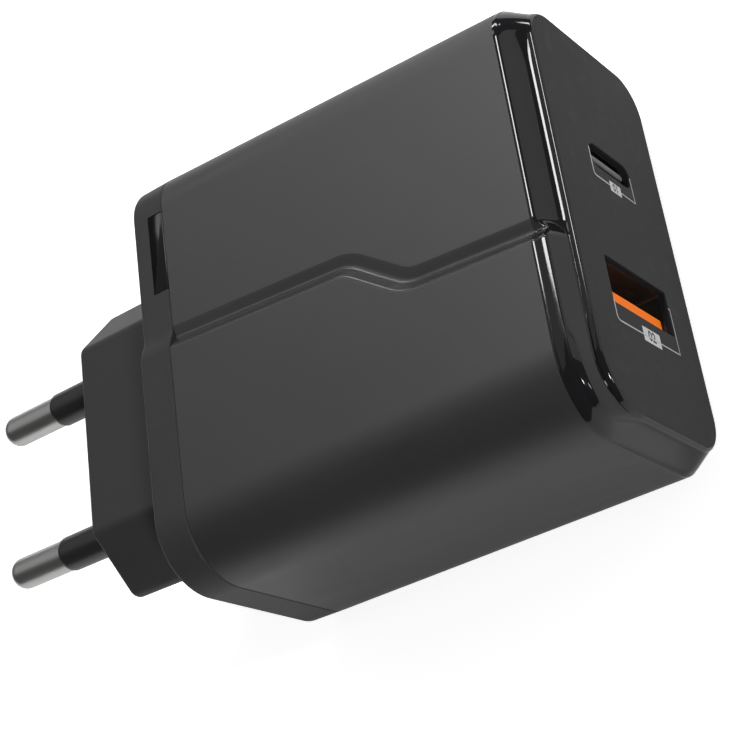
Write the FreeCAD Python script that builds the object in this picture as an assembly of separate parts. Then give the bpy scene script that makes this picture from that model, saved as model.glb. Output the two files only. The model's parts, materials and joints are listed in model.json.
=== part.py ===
import FreeCAD, Part
import math
import os

# A two-port wall charger for round-pin sockets, lying on its back wide face.
# +X runs from the plug pins to the ports, +Y across the wide face and +Z up through the
# thickness. The origin is under the middle of the whole part, on the surface it lies on.
# Millimetres and degrees.

# Housing shell: a drafted tub, open at the seam
rear_width = 49.8
side_draft = 1.0
rear_depth = 28.75
face_draft = 2.0
body_length = 44.8
corner_radius = 5.3
near_radius = 7.7
wall = 2.0
front_wall = 2.0

# Glossy band that steps in from the body to the front panel
band_length = 2.7
band_inset = 2.1

# Front panel: a proud cap on the band and a spigot through the window in the front wall
cap_height = 0.7
cap_inset = 1.65
cap_edge = 0.4
cap_corner = 4.9
cap_near_corner = 7.2
window_side = 3.1
window_end = 2.0
window_corner = 1.5
panel_gap = 0.15

# Relief on the wide face: one half stands proud, with a jogged groove between the halves
relief_step = 0.8
groove_width = 2.6
groove_depth = 0.4
groove_y = 2.6
groove_skew = 2.3
jog_start = 23.6
jog_length = 6.55
jog_drop = 4.86
bend_radius = 4.8

# Rear cover: a collar with a spigot welded into the shell, and the plug block
collar_length = 4.6
collar_edge = 0.6
collar_wall = 1.8
spigot_length = 3.0
spigot_wall = 1.2
spigot_gap = 0.15
block_length = 17.1
block_half_width = 19.2
block_flat = 23.7
block_depth = 13.4
block_corner = 1.6
block_edge = 0.7
block_wall = 1.8
plug_wall = 4.0

# Plug pins
pin_spacing = 19.4
pin_diameter = 4.0
pin_length = 19.5
pin_nose = 1.5
bare_length = 9.2
sleeve_proud = 0.18
sleeve_wall = 0.5
sleeve_socket = 2.0
insert_gap = 0.05
flange_reach = 1.2
flange_thickness = 1.0
tail_length = 3.4

# Contact springs between the pin tails and the main board
spring_width = 4.4
spring_thickness = 0.4
spring_foot = 2.4
spring_setback = 1.0

# Indicator: a smoked window beside the seam, over an LED on a spacer
lens_length = 10.0
lens_width = 2.15
lens_thickness = 1.2
lens_corner_gap = 0.75
lens_gap = 0.05
pipe_diameter = 1.5
led_diameter = 3.0
led_height = 4.2
led_gap = 0.3
led_side_gap = 0.4
led_setback = 1.05
led_pitch = 1.27
spacer_diameter = 3.4

# Boards
board_thickness = 1.2
board_side_gap = 1.6
board_rear_reach = 2.4
board_end_gap = 0.5
rail_height = 2.2
rail_width = 1.6
rail_inset = 1.0
rail_setback = 4.0
sheet_thickness = 0.3
sheet_margin = 0.4
port_board_thickness = 1.0
port_board_width = 34.0
port_board_margin = 2.8
lead_diameter = 0.6
lead_clearance = 0.1
lead_reach = 0.8

# Receptacles, at mid-height of the front panel
receptacle_depth = 12.0
usb_a_y = -7.9
usb_a_width = 13.1
usb_a_depth = 5.72
usb_a_wall = 0.3
usb_a_mouth_corner = 0.3
usb_a_back = 2.6
tongue_width = 11.1
tongue_thickness = 1.84
tongue_offset = 0.7
tongue_recess = 0.15
usb_a_contact_rows = (-3.5, -1.0, 1.0, 3.5)
usb_a_contact_width = 1.0
contact_thickness = 0.25
contact_setback = 0.8
usb_c_y = 7.4
usb_c_width = 8.94
usb_c_depth = 3.26
usb_c_wall = 0.3
usb_c_mouth_gap = 0.05
usb_c_back = 5.6
usb_c_tongue_width = 6.69
usb_c_tongue_thickness = 0.7
usb_c_tongue_recess = 0.7
usb_c_contact_count = 12
usb_c_contact_pitch = 0.5
usb_c_contact_width = 0.25
usb_c_contact_thickness = 0.1
pocket_gap = 0.15

# Main-board parts; each place is counted from the seam and the middle of the board
fuse_place = (6.0, 15.5)
fuse_size = (4.0, 8.4, 7.5)
fuse_pitch = 5.0
varistor_place = (6.0, 4.6)
thermistor_place = (6.0, -4.6)
disc_diameter = 8.0
disc_thickness = 4.0
disc_pitch = 5.0
disc_lift = 0.4
disc_edge = 0.6
x_capacitor_place = (11.2, 12.2)
x_capacitor_size = (5.4, 13.0, 11.5)
x_capacitor_pitch = 10.0
bridge_place = (11.2, 0.5)
bridge_size = (5.0, 6.5, 2.5)
choke_place = (9.0, -14.2)
choke_diameter = 10.0
choke_height = 11.0
choke_flange = 1.4
choke_hub_diameter = 4.6
choke_winding_diameter = 9.2
choke_pitch = 5.0
bulk_places = ((19.3, 15.4), (29.0, 15.4))
bulk_diameter = 9.5
bulk_height = 16.0
bulk_pitch = 5.0
can_groove = 0.35
can_groove_height = 2.2
transformer_place = (23.0, 0.0)
core_length = 8.0
core_width = 19.0
core_height = 15.0
core_lift = 1.0
yoke = 2.5
centre_leg = 5.5
outer_leg = 2.75
bobbin_gap = 0.1
bobbin_wall = 0.7
bobbin_flange = 0.8
bobbin_length = 16.6
bobbin_side_gap = 0.15
winding_margin = 0.5
tape_thickness = 0.2
terminal_pitch = 4.0
transistor_place = (18.5, -15.4)
transistor_size = (6.6, 6.1, 2.3)
control_place = (26.0, -17.4)
control_size = (4.9, 3.9, 1.5)
optocoupler_place = (25.6, -12.4)
optocoupler_size = (4.6, 3.8, 2.2)
y_capacitor_place = (32.0, -14.2)
y_capacitor_diameter = 7.0
y_capacitor_thickness = 3.2
output_setback = 4.5
output_columns = (-15.6, 0.3, 14.6)
output_diameter = 6.3
output_height = 9.0
output_pitch = 2.5
protocol_size = (0.9, 4.0, 4.0)
protocol_y = 0.0
chip_rows = (13.5, 19.0, 24.5, 30.0, 36.0)
chip_columns = (-9.6, -7.4, 7.4, 9.6)
chip_size = (2.0, 1.25, 0.5)

# Heat spreader, on a pad over the transformer, with a foot on the power transistor
pad_thickness = 1.0
spreader_thickness = 0.8
spreader_start = 13.2
spreader_end = 33.0
spreader_near_gap = 1.1
spreader_far_gap = 0.9
spreader_leg_margin = 0.4

# Places along the length
overall = pin_length + block_length + collar_length + body_length + band_length + cap_height
x_front = overall / 2
x_cap = x_front - cap_height
x_wall = x_cap - front_wall
x_edge = x_cap - band_length
x_seam = x_edge - body_length
x_collar = x_seam - collar_length
x_plug = x_collar - block_length
x_tip = x_plug - pin_length
x_port_board = x_cap - receptacle_depth - port_board_thickness

def width_at(x):
    return rear_width - 2 * (x - x_seam) * math.tan(math.radians(side_draft))


def drop_at(x):
    return (x - x_seam) * math.tan(math.radians(face_draft))


# Levels above the resting face
low_depth = rear_depth - relief_step
panel_top = low_depth - drop_at(x_edge)
plug_height = low_depth / 2
port_height = panel_top / 2
board_base = wall + rail_height
board_top = board_base + board_thickness
port_board_top = port_height + usb_a_width / 2 + port_board_margin

# Widths and places across
board_width = width_at(x_wall) - 2 * (wall + board_side_gap)
rail_spacing = board_width - 2 * rail_inset
sleeve_diameter = pin_diameter + 2 * sleeve_proud
core_diameter = sleeve_diameter - 2 * (sleeve_wall + insert_gap)
flange_diameter = core_diameter + 2 * flange_reach
led_y = (pin_spacing + spring_width + spacer_diameter) / 2 + led_side_gap
lens_far_y = rear_width / 2 - corner_radius - lens_corner_gap
usb_a_reach = abs(usb_a_y) + usb_a_depth / 2
usb_c_reach = abs(usb_c_y) + usb_c_depth / 2
window_width = 2 * (max(usb_a_reach, usb_c_reach) + pocket_gap + window_side)
window_depth = usb_a_width + 2 * (pocket_gap + window_end)
output_x = x_port_board + port_board_thickness + output_setback - x_seam
output_places = [(output_x, y) for y in output_columns]
far = 3 * rear_width


def vec(x, y, z):
    return FreeCAD.Vector(x, y, z)


def block(x0, x1, y0, y1, z0, z1):
    return Part.makeBox(x1 - x0, y1 - y0, z1 - z0, vec(x0, y0, z0))


def standing_block(place, size, base):
    x = x_seam + place[0]
    y = place[1]
    return block(x - size[0] / 2, x + size[0] / 2, y - size[1] / 2, y + size[1] / 2, base, base + size[2])


def post(x, y, z0, z1, diameter):
    return Part.makeCylinder(diameter / 2, z1 - z0, vec(x, y, z0))


def rod(x0, x1, y, z, diameter):
    return Part.makeCylinder(diameter / 2, x1 - x0, vec(x0, y, z), vec(1, 0, 0))


def edges_on_plane(shape, x):
    return [e for e in shape.Edges if abs(e.BoundBox.XMin - x) < 1e-4 and abs(e.BoundBox.XMax - x) < 1e-4]


def edges_along_x(shape):
    return [e for e in shape.Edges if e.BoundBox.YLength < 1e-4 and e.BoundBox.ZLength < 1e-4]


def loft(*wires):
    return Part.makeLoft(list(wires), True, True)


def prism(wire, length):
    return Part.Face(wire).extrude(vec(length, 0, 0))


# Outlines across the length ------------------------------------------------------------

def arc(x, y, z, radius, start):
    points = []
    for angle in (start, start + 45, start + 90):
        turn = math.radians(angle)
        points.append(vec(x, y + radius * math.cos(turn), z + radius * math.sin(turn)))
    return Part.Arc(*points).toShape()


def outline(x, width, low, high, small, large, shoulder=()):
    # A rounded rectangle with corners of radius small, and of radius large between the top
    # and the -Y side. shoulder holds any extra points along the top, from +Y to -Y.
    half = width / 2
    near_high = high
    if shoulder:
        near_high = shoulder[-1][1]
    back_far = arc(x, half - small, low + small, small, -90)
    face_far = arc(x, half - small, high - small, small, 0)
    face_near = arc(x, -half + large, near_high - large, large, 90)
    back_near = arc(x, -half + small, low + small, small, 180)
    face_points = [vec(x, half - small, high)]
    face_points += [vec(x, y, z) for y, z in shoulder]
    face_points += [vec(x, -half + large, near_high)]
    face_lines = [Part.makeLine(a, b) for a, b in zip(face_points, face_points[1:])]
    far_side = Part.makeLine(vec(x, half, low + small), vec(x, half, high - small))
    near_side = Part.makeLine(vec(x, -half, near_high - large), vec(x, -half, low + small))
    back = Part.makeLine(vec(x, -half + small, low), vec(x, half - small, low))
    return Part.Wire([back_far, far_side, face_far] + face_lines + [face_near, near_side, back_near, back])


def body_outline(x, level, inset):
    top = rear_depth + level - drop_at(x)
    return outline(x, width_at(x) - 2 * inset, inset, top - inset, corner_radius - inset, near_radius - inset)


def front_outline(x, inset):
    # The corners are true offsets of the cap's
    growth = cap_inset - inset
    return outline(x, width_at(x_edge) - 2 * inset, inset, panel_top - inset,
                   cap_corner + growth, cap_near_corner + growth)


def cavity_outline(x, inset):
    return body_outline(x, -relief_step, wall + inset)


def rounded_rectangle(x, y, z, size_y, size_z, radius):
    half_y = size_y / 2 - radius
    half_z = size_z / 2 - radius
    corners = [(y + half_y, z - half_z, -90), (y + half_y, z + half_z, 0),
               (y - half_y, z + half_z, 90), (y - half_y, z - half_z, 180)]
    arcs = [arc(x, cy, cz, radius, start) for cy, cz, start in corners]
    edges = []
    for current, following in zip(arcs, arcs[1:] + arcs[:1]):
        edges.append(current)
        start = current.lastVertex().Point
        end = following.firstVertex().Point
        if start.distanceToPoint(end) > 1e-6:
            edges.append(Part.makeLine(start, end))
    return Part.Wire(edges)


# Housing shell --------------------------------------------------------------------------

def groove_path():
    # Plan of the groove from behind the seam to past the band: straight, jog, straight
    slope = math.tan(math.radians(groove_skew))
    reach = spigot_length
    jog_end = jog_start + jog_length
    length = body_length + band_length
    first = groove_y - slope * jog_start
    second = first - jog_drop
    points = [
        vec(-reach, groove_y + slope * reach, 0),
        vec(jog_start, first, 0),
        vec(jog_end, second, 0),
        vec(length + reach, second - slope * (length + reach - jog_end), 0),
    ]
    edges = []
    start = points[0]
    for before, corner, after in zip(points, points[1:], points[2:]):
        arrive = (corner - before).normalize()
        leave = (after - corner).normalize()
        turn = arrive.getAngle(leave)
        tangent = bend_radius * math.tan(turn / 2)
        inner = (leave - arrive).normalize()
        entry = corner - arrive * tangent
        leaving = corner + leave * tangent
        middle = corner + inner * (bend_radius / math.cos(turn / 2) - bend_radius)
        edges.append(Part.makeLine(start, entry))
        edges.append(Part.Arc(entry, middle, leaving).toShape())
        start = leaving
    edges.append(Part.makeLine(start, points[-1]))
    return Part.Wire(edges)


def far_half():
    # Everything on the +Y side of the groove's middle line
    path = groove_path()
    path.translate(vec(x_seam, 0, 0))
    ends = [path.OrderedVertexes[0].Point, path.OrderedVertexes[-1].Point]
    border = Part.makePolygon([ends[1], vec(ends[1].x, far, 0), vec(ends[0].x, far, 0), ends[0]])
    return Part.Face(Part.Wire(path.Edges + border.Edges)).extrude(vec(0, 0, far))


def groove_cutter():
    # A V with one side up to the proud half, swept along the path on the sloping face
    path = groove_path()
    start = path.OrderedVertexes[0].Point
    half = groove_width / 2
    rise = relief_step + groove_width
    profile = Part.makePolygon([
        start + vec(0, -half, relief_step),
        start + vec(0, 0, -groove_depth),
        start + vec(0, half, 0),
        start + vec(0, half, rise),
        start + vec(0, -half, rise),
        start + vec(0, -half, relief_step),
    ])
    cutter = path.makePipeShell([profile], True, True)
    cutter.Placement = FreeCAD.Placement(
        vec(x_seam, 0, low_depth), FreeCAD.Rotation(vec(0, 1, 0), face_draft))
    return cutter


def tub(level):
    rear = body_outline(x_seam, level, 0)
    edge = body_outline(x_edge, level, 0)
    return loft(rear, edge, front_outline(x_cap, band_inset))


def window_outline(x, clearance):
    size_y = window_width - 2 * clearance
    size_z = window_depth - 2 * clearance
    return rounded_rectangle(x, 0, port_height, size_y, size_z, window_corner - clearance)


def housing_shell():
    body = tub(-relief_step).fuse(tub(0).cut(far_half())).removeSplitter()
    body = body.cut(groove_cutter())
    body = body.cut(loft(cavity_outline(x_seam, 0), cavity_outline(x_wall, 0)))
    body = body.cut(prism(window_outline(x_wall - front_wall, 0), 3 * front_wall))
    for y in (-rail_spacing / 2, rail_spacing / 2):
        rail = block(x_seam + rail_setback, x_wall, y - rail_width / 2, y + rail_width / 2, wall, board_base)
        body = body.fuse(rail)
    return body.removeSplitter()


# Front panel ----------------------------------------------------------------------------

def stadium(x, y, z, size_y, size_z):
    return rounded_rectangle(x, y, z, size_y, size_z, size_y / 2)


def usb_c_outline(x, growth):
    return stadium(x, usb_c_y, port_height, usb_c_depth + 2 * growth, usb_c_width + 2 * growth)


def front_panel():
    cap = prism(front_outline(x_cap, cap_inset), cap_height)
    cap = cap.makeFillet(cap_edge, edges_on_plane(cap, x_front))
    panel = cap.fuse(prism(window_outline(x_wall, panel_gap), front_wall))
    depth = 2 * cap_height + 2 * front_wall
    mouth = rounded_rectangle(
        x_wall, usb_a_y, port_height,
        usb_a_depth - 2 * usb_a_wall, usb_a_width - 2 * usb_a_wall, usb_a_mouth_corner)
    panel = panel.cut(prism(mouth, depth))
    panel = panel.cut(prism(usb_c_outline(x_wall, usb_c_mouth_gap - usb_c_wall), depth))
    panel = panel.cut(block(
        x_wall - front_wall, x_cap,
        usb_a_y - usb_a_depth / 2 - pocket_gap, usb_a_y + usb_a_depth / 2 + pocket_gap,
        port_height - usb_a_width / 2 - pocket_gap, port_height + usb_a_width / 2 + pocket_gap))
    panel = panel.cut(prism(usb_c_outline(x_wall - front_wall, pocket_gap), 2 * front_wall))
    return panel.removeSplitter()


# Rear cover -----------------------------------------------------------------------------

def collar_outline(x):
    # The same relief as the shell at the seam, with a plain ramp in place of the groove
    half = groove_width / 2
    ramp = [(groove_y + half, low_depth), (groove_y - half, rear_depth)]
    return outline(x, rear_width, 0, low_depth, corner_radius, near_radius, ramp)


def plug_outline(x, inset):
    # An elongated hexagon with its two sharp sides at mid-thickness
    rise = block_depth / 2
    run = block_half_width - block_flat / 2
    slant = math.hypot(run, rise)
    half = block_half_width - inset * slant / rise
    flat = block_flat / 2 - inset * (slant - run) / rise
    rise = rise - inset
    spots = [(flat, rise), (-flat, rise), (-half, 0), (-flat, -rise), (flat, -rise), (half, 0), (flat, rise)]
    return Part.makePolygon([vec(x, y, plug_height + z) for y, z in spots])


def lens_slot(clearance):
    return block(
        x_seam - lens_width - clearance, x_seam,
        lens_far_y - lens_length - clearance, lens_far_y + clearance,
        low_depth - lens_thickness - clearance, low_depth)


def rear_cover():
    collar = prism(collar_outline(x_collar), collar_length)
    collar = collar.makeFillet(collar_edge, edges_on_plane(collar, x_collar))
    plug = prism(plug_outline(x_plug, 0), block_length)
    plug = plug.makeFillet(block_corner, edges_along_x(plug))
    plug = plug.makeFillet(block_edge, edges_on_plane(plug, x_plug))
    plug = plug.fuse(prism(plug_outline(x_collar, block_corner), collar_wall))
    cover = collar.fuse(plug)
    spigot_end = x_seam + spigot_length
    cover = cover.fuse(loft(cavity_outline(x_seam, spigot_gap), cavity_outline(spigot_end, spigot_gap)))
    hollow = spigot_gap + spigot_wall
    cover = cover.cut(prism(cavity_outline(x_seam, hollow).translated(vec(collar_wall - collar_length, 0, 0)),
                            collar_length - collar_wall))
    cover = cover.cut(loft(cavity_outline(x_seam, hollow), cavity_outline(spigot_end, hollow)))
    inner_start = x_plug + plug_wall
    cover = cover.cut(prism(plug_outline(inner_start, block_wall), x_collar + collar_wall - inner_start))
    socket_end = x_plug + sleeve_socket
    for y in (-pin_spacing / 2, pin_spacing / 2):
        cover = cover.cut(rod(x_plug, inner_start, y, plug_height, core_diameter + 2 * insert_gap))
        cover = cover.cut(rod(x_plug, socket_end, y, plug_height, sleeve_diameter + 2 * insert_gap))
    cover = cover.cut(lens_slot(lens_gap))
    cover = cover.cut(post(x_seam - led_setback, led_y, board_top, low_depth, pipe_diameter + 2 * lens_gap))
    return cover.removeSplitter()


# Plug pins and contacts -----------------------------------------------------------------

def plug_pin(y):
    # Half profile as (place along X, radius), turned about the pin's axis
    shoulder = x_plug + plug_wall
    tip = pin_diameter / 2 - pin_nose
    profile = [
        (x_tip + pin_nose, pin_diameter / 2), (x_tip + bare_length, pin_diameter / 2),
        (x_tip + bare_length, core_diameter / 2), (shoulder, core_diameter / 2),
        (shoulder, flange_diameter / 2), (shoulder + flange_thickness, flange_diameter / 2),
        (shoulder + flange_thickness, core_diameter / 2), (shoulder + tail_length, core_diameter / 2),
        (shoulder + tail_length, 0), (x_tip, 0), (x_tip, tip),
    ]
    points = [vec(x, y + radius, plug_height) for x, radius in profile]
    slant = pin_nose * math.sin(math.radians(45))
    bulge = vec(x_tip + pin_nose - slant, y + tip + slant, plug_height)
    nose = Part.Arc(points[-1], bulge, points[0]).toShape()
    face = Part.Face(Part.Wire(Part.makePolygon(points).Edges + [nose]))
    return face.revolve(vec(x_tip, y, plug_height), vec(1, 0, 0), 360)


def pin_sleeve(y):
    x0 = x_tip + bare_length
    x1 = x_plug + sleeve_socket
    outer = rod(x0, x1, y, plug_height, sleeve_diameter)
    return outer.cut(rod(x0, x1, y, plug_height, core_diameter + 2 * insert_gap))


def contact_spring(y):
    # A strip under the pin's tail that turns down to a foot on the board
    tail_start = x_plug + plug_wall + flange_thickness + insert_gap
    top = plug_height - core_diameter / 2
    corner = x_seam - spring_setback
    side = [
        (tail_start, top), (corner + spring_thickness, top),
        (corner + spring_thickness, board_top + spring_thickness),
        (corner + spring_foot, board_top + spring_thickness), (corner + spring_foot, board_top),
        (corner, board_top), (corner, top - spring_thickness), (tail_start, top - spring_thickness),
        (tail_start, top),
    ]
    wire = Part.makePolygon([vec(x, y - spring_width / 2, z) for x, z in side])
    return Part.Face(wire).extrude(vec(0, spring_width, 0))


# Indicator ------------------------------------------------------------------------------

def indicator_window():
    lens = lens_slot(0)
    base = board_top + led_seat_height() + led_height + led_gap
    pipe = post(x_seam - led_setback, led_y, base, low_depth - lens_thickness / 2, pipe_diameter)
    return lens.fuse(pipe).removeSplitter()


def led_seat_height():
    ceiling = low_depth - wall - spigot_gap - spigot_wall
    return ceiling - board_top - led_height - led_gap


def led_leads():
    x = x_seam - led_setback
    return [(x, led_y - led_pitch / 2), (x, led_y + led_pitch / 2)]


def indicator_led():
    x = x_seam - led_setback
    base = board_top + led_seat_height()
    dome = led_diameter / 2
    lens = post(x, led_y, base, base + led_height - dome, led_diameter)
    lens = lens.fuse(Part.makeSphere(dome, vec(x, led_y, base + led_height - dome)))
    return with_leads(lens, led_leads(), base)


def led_spacer():
    x = x_seam - led_setback
    spacer = post(x, led_y, board_top, board_top + led_seat_height(), spacer_diameter)
    for lead_x, lead_y in led_leads():
        bore = post(lead_x, lead_y, board_top, board_top + led_seat_height(), lead_diameter + 2 * insert_gap)
        spacer = spacer.cut(bore)
    return spacer


# Main board -----------------------------------------------------------------------------

def lead_pair(place, pitch):
    x = x_seam + place[0]
    return [(x, place[1] - pitch / 2), (x, place[1] + pitch / 2)]


def lead_square(place, pitch):
    x = x_seam + place[0]
    return [(x + dx, place[1] + dy) for dx in (-pitch / 2, pitch / 2) for dy in (-pitch / 2, pitch / 2)]


def terminal_spots():
    x, y = x_seam + transformer_place[0], transformer_place[1]
    reach = (bobbin_length + core_length) / 4
    return [(x + side * reach, y + n * terminal_pitch) for side in (-1, 1) for n in (-1, 0, 1)]


def board_leads():
    spots = lead_pair(fuse_place, fuse_pitch) + lead_pair(x_capacitor_place, x_capacitor_pitch)
    spots += lead_pair(varistor_place, disc_pitch) + lead_pair(thermistor_place, disc_pitch)
    spots += lead_square(choke_place, choke_pitch) + terminal_spots() + led_leads()
    spots += lead_pair(y_capacitor_place, disc_pitch)
    for place in bulk_places:
        spots += lead_pair(place, bulk_pitch)
    for place in output_places:
        spots += lead_pair(place, output_pitch)
    return spots


def with_leads(shape, spots, top):
    leads = [post(x, y, board_base - lead_reach, top + lead_diameter, lead_diameter) for x, y in spots]
    return shape.fuse(leads).removeSplitter()


def main_board():
    board = block(x_seam - board_rear_reach, x_wall - board_end_gap,
                  -board_width / 2, board_width / 2, board_base, board_top)
    hole = lead_diameter + 2 * lead_clearance
    holes = [post(x, y, board_base, board_top, hole) for x, y in board_leads()]
    # A tall large receptacle dips into the board; at the usual height this takes nothing away
    dip = usb_a_box(x_port_board, x_wall, -pocket_gap)
    return board.cut(holes + [dip])


def insulating_sheet():
    half = rail_spacing / 2 - rail_width / 2 - sheet_margin
    return block(x_seam + rail_setback, x_wall - sheet_margin, -half, half, wall, wall + sheet_thickness)


def fuse():
    body = standing_block(fuse_place, fuse_size, board_top)
    return with_leads(body, lead_pair(fuse_place, fuse_pitch), board_top)


def x_capacitor():
    body = standing_block(x_capacitor_place, x_capacitor_size, board_top)
    return with_leads(body, lead_pair(x_capacitor_place, x_capacitor_pitch), board_top)


def disc(place, diameter, thickness):
    x = x_seam + place[0]
    middle = board_top + disc_lift + diameter / 2
    body = rod(x - thickness / 2, x + thickness / 2, place[1], middle, diameter)
    body = body.makeFillet(disc_edge, body.Edges)
    return with_leads(body, lead_pair(place, disc_pitch), middle)


def bridge_rectifier():
    return standing_block(bridge_place, bridge_size, board_top)


def choke_core():
    x, y = x_seam + choke_place[0], choke_place[1]
    lower = post(x, y, board_top, board_top + choke_flange, choke_diameter)
    upper = post(x, y, board_top + choke_height - choke_flange, board_top + choke_height, choke_diameter)
    hub = post(x, y, board_top, board_top + choke_height, choke_hub_diameter)
    return with_leads(lower.fuse([upper, hub]), lead_square(choke_place, choke_pitch), board_top)


def choke_winding():
    x, y = x_seam + choke_place[0], choke_place[1]
    z0 = board_top + choke_flange
    z1 = board_top + choke_height - choke_flange
    return post(x, y, z0, z1, choke_winding_diameter).cut(post(x, y, z0, z1, choke_hub_diameter + insert_gap))


def can(place, diameter, height, pitch):
    x, y = x_seam + place[0], place[1]
    body = post(x, y, board_top, board_top + height, diameter)
    ring = Part.makeTorus(diameter / 2 + can_groove / 2, can_groove, vec(x, y, board_top + can_groove_height))
    return with_leads(body.cut(ring), lead_pair(place, pitch), board_top)


def transformer_core():
    # Two equal E halves that meet at mid-height
    x, y = x_seam + transformer_place[0], transformer_place[1]
    z = board_top + core_lift
    half_height = core_height / 2
    lower = block(x - core_length / 2, x + core_length / 2, y - core_width / 2, y + core_width / 2,
                  z, z + half_height)
    gap = core_width / 2 - outer_leg - centre_leg / 2
    for start in (y - centre_leg / 2 - gap, y + centre_leg / 2):
        lower = lower.cut(block(x - core_length / 2, x + core_length / 2, start, start + gap,
                                z + yoke, z + half_height))
    upper = lower.mirror(vec(0, 0, z + half_height), vec(0, 0, 1))
    return Part.makeCompound([lower, upper])


def tube_block(outer_x, outer_y, inner_x, inner_y, z0, z1):
    x, y = x_seam + transformer_place[0], transformer_place[1]
    outer = block(x - outer_x / 2, x + outer_x / 2, y - outer_y / 2, y + outer_y / 2, z0, z1)
    return outer.cut(block(x - inner_x / 2, x + inner_x / 2, y - inner_y / 2, y + inner_y / 2, z0, z1))


def bobbin_levels():
    base = board_top + core_lift + yoke
    return base, base + core_height - 2 * yoke


def bobbin_tube():
    inner_x = core_length + 2 * bobbin_gap
    inner_y = centre_leg + 2 * bobbin_gap
    return inner_x, inner_y, inner_x + 2 * bobbin_wall, inner_y + 2 * bobbin_wall


def bobbin_flange_width():
    return core_width - 2 * outer_leg - 2 * bobbin_side_gap


def transformer_bobbin():
    inner_x, inner_y, tube_x, tube_y = bobbin_tube()
    z0, z1 = bobbin_levels()
    flange_y = bobbin_flange_width()
    bobbin = tube_block(tube_x, tube_y, inner_x, inner_y, z0, z1)
    for base in (z0, z1 - bobbin_flange):
        flange = tube_block(bobbin_length, flange_y, inner_x, inner_y, base, base + bobbin_flange)
        bobbin = bobbin.fuse(flange)
    feet = tube_block(bobbin_length, flange_y, inner_x, 2 * flange_y, board_top, z0)
    return with_leads(bobbin.fuse(feet), terminal_spots(), board_top)


def transformer_winding():
    inner_x, inner_y, tube_x, tube_y = bobbin_tube()
    z0, z1 = bobbin_levels()
    coil_y = bobbin_flange_width() - 2 * winding_margin
    coil_x = bobbin_length - 2 * winding_margin
    return tube_block(coil_x, coil_y, tube_x + insert_gap, tube_y + insert_gap,
                      z0 + bobbin_flange, z1 - bobbin_flange)


def transformer_tape():
    z0, z1 = bobbin_levels()
    coil_y = bobbin_flange_width() - 2 * winding_margin
    coil_x = bobbin_length - 2 * winding_margin
    return tube_block(coil_x + 2 * tape_thickness, coil_y + 2 * tape_thickness, coil_x, coil_y,
                      z0 + bobbin_flange, z1 - bobbin_flange)


def chip_parts():
    chips = []
    for along in chip_rows:
        for across in chip_columns:
            chips.append(standing_block((along, across), chip_size, board_base - chip_size[2]))
    return Part.makeCompound(chips)


# Heat path ------------------------------------------------------------------------------

def thermal_pad():
    size = (core_length, core_width, pad_thickness)
    return standing_block(transformer_place, size, board_top + core_lift + core_height)


def heat_spreader():
    plate_base = board_top + core_lift + core_height + pad_thickness
    near_y = -board_width / 2 + spreader_near_gap
    far_y = board_width / 2 - spreader_far_gap
    plate = block(x_seam + spreader_start, x_seam + spreader_end, near_y, far_y,
                  plate_base, plate_base + spreader_thickness)
    x = x_seam + transistor_place[0]
    half = transistor_size[0] / 2 - spreader_leg_margin
    foot_base = board_top + transistor_size[2]
    leg = block(x - half, x + half, near_y, near_y + spreader_thickness,
                foot_base, plate_base + spreader_thickness)
    foot_end = transistor_place[1] + transistor_size[1] / 2
    foot = block(x - half, x + half, near_y, foot_end, foot_base, foot_base + spreader_thickness)
    return plate.fuse([leg, foot]).removeSplitter()


# Port board and receptacles -------------------------------------------------------------

def port_board():
    return block(x_port_board, x_port_board + port_board_thickness,
                 -port_board_width / 2, port_board_width / 2, board_top, port_board_top)


def protocol_chip():
    depth, size_y, size_z = protocol_size
    return block(x_port_board - depth, x_port_board, protocol_y - size_y / 2, protocol_y + size_y / 2,
                 port_height - size_z / 2, port_height + size_z / 2)


def usb_a_box(x0, x1, inset):
    return block(x0, x1, usb_a_y - usb_a_depth / 2 + inset, usb_a_y + usb_a_depth / 2 - inset,
                 port_height - usb_a_width / 2 + inset, port_height + usb_a_width / 2 - inset)


def usb_a_shell():
    x0 = x_cap - receptacle_depth
    return usb_a_box(x0, x_cap, 0).cut(usb_a_box(x0, x_cap, usb_a_wall))


def tongue_face():
    # The contact side of the tongue
    return usb_a_y - usb_a_depth / 2 + usb_a_wall + tongue_offset + tongue_thickness


def usb_a_contact_boxes(clearance):
    x0 = x_cap - receptacle_depth
    x1 = x_cap - tongue_recess - contact_setback
    face = tongue_face()
    half = usb_a_contact_width / 2 + clearance
    return [
        block(x0, x1 + clearance, face, face + contact_thickness + clearance,
              port_height + row - half, port_height + row + half)
        for row in usb_a_contact_rows
    ]


def usb_a_tongue():
    x0 = x_cap - receptacle_depth
    back = usb_a_box(x0, x0 + usb_a_back, usb_a_wall + insert_gap).cut(usb_a_contact_boxes(insert_gap))
    face = tongue_face()
    tongue = block(x0, x_cap - tongue_recess, face - tongue_thickness, face,
                   port_height - tongue_width / 2, port_height + tongue_width / 2)
    return back.fuse(tongue).removeSplitter()


def usb_c_prism(x0, x1, growth):
    return prism(usb_c_outline(x0, growth), x1 - x0)


def usb_c_shell():
    x0 = x_cap - receptacle_depth
    return usb_c_prism(x0, x_cap, 0).cut(usb_c_prism(x0, x_cap, -usb_c_wall))


def usb_c_contact_boxes(clearance):
    x0 = x_cap - receptacle_depth
    x1 = x_cap - usb_c_tongue_recess - contact_setback
    boxes = []
    for side in (-1, 1):
        face = usb_c_y + side * usb_c_tongue_thickness / 2
        rise = face + side * (usb_c_contact_thickness + clearance)
        for n in range(usb_c_contact_count):
            z = port_height + (n - (usb_c_contact_count - 1) / 2) * usb_c_contact_pitch
            half = usb_c_contact_width / 2 + clearance / 2
            boxes.append(block(x0, x1 + clearance, min(face, rise), max(face, rise), z - half, z + half))
    return boxes


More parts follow.
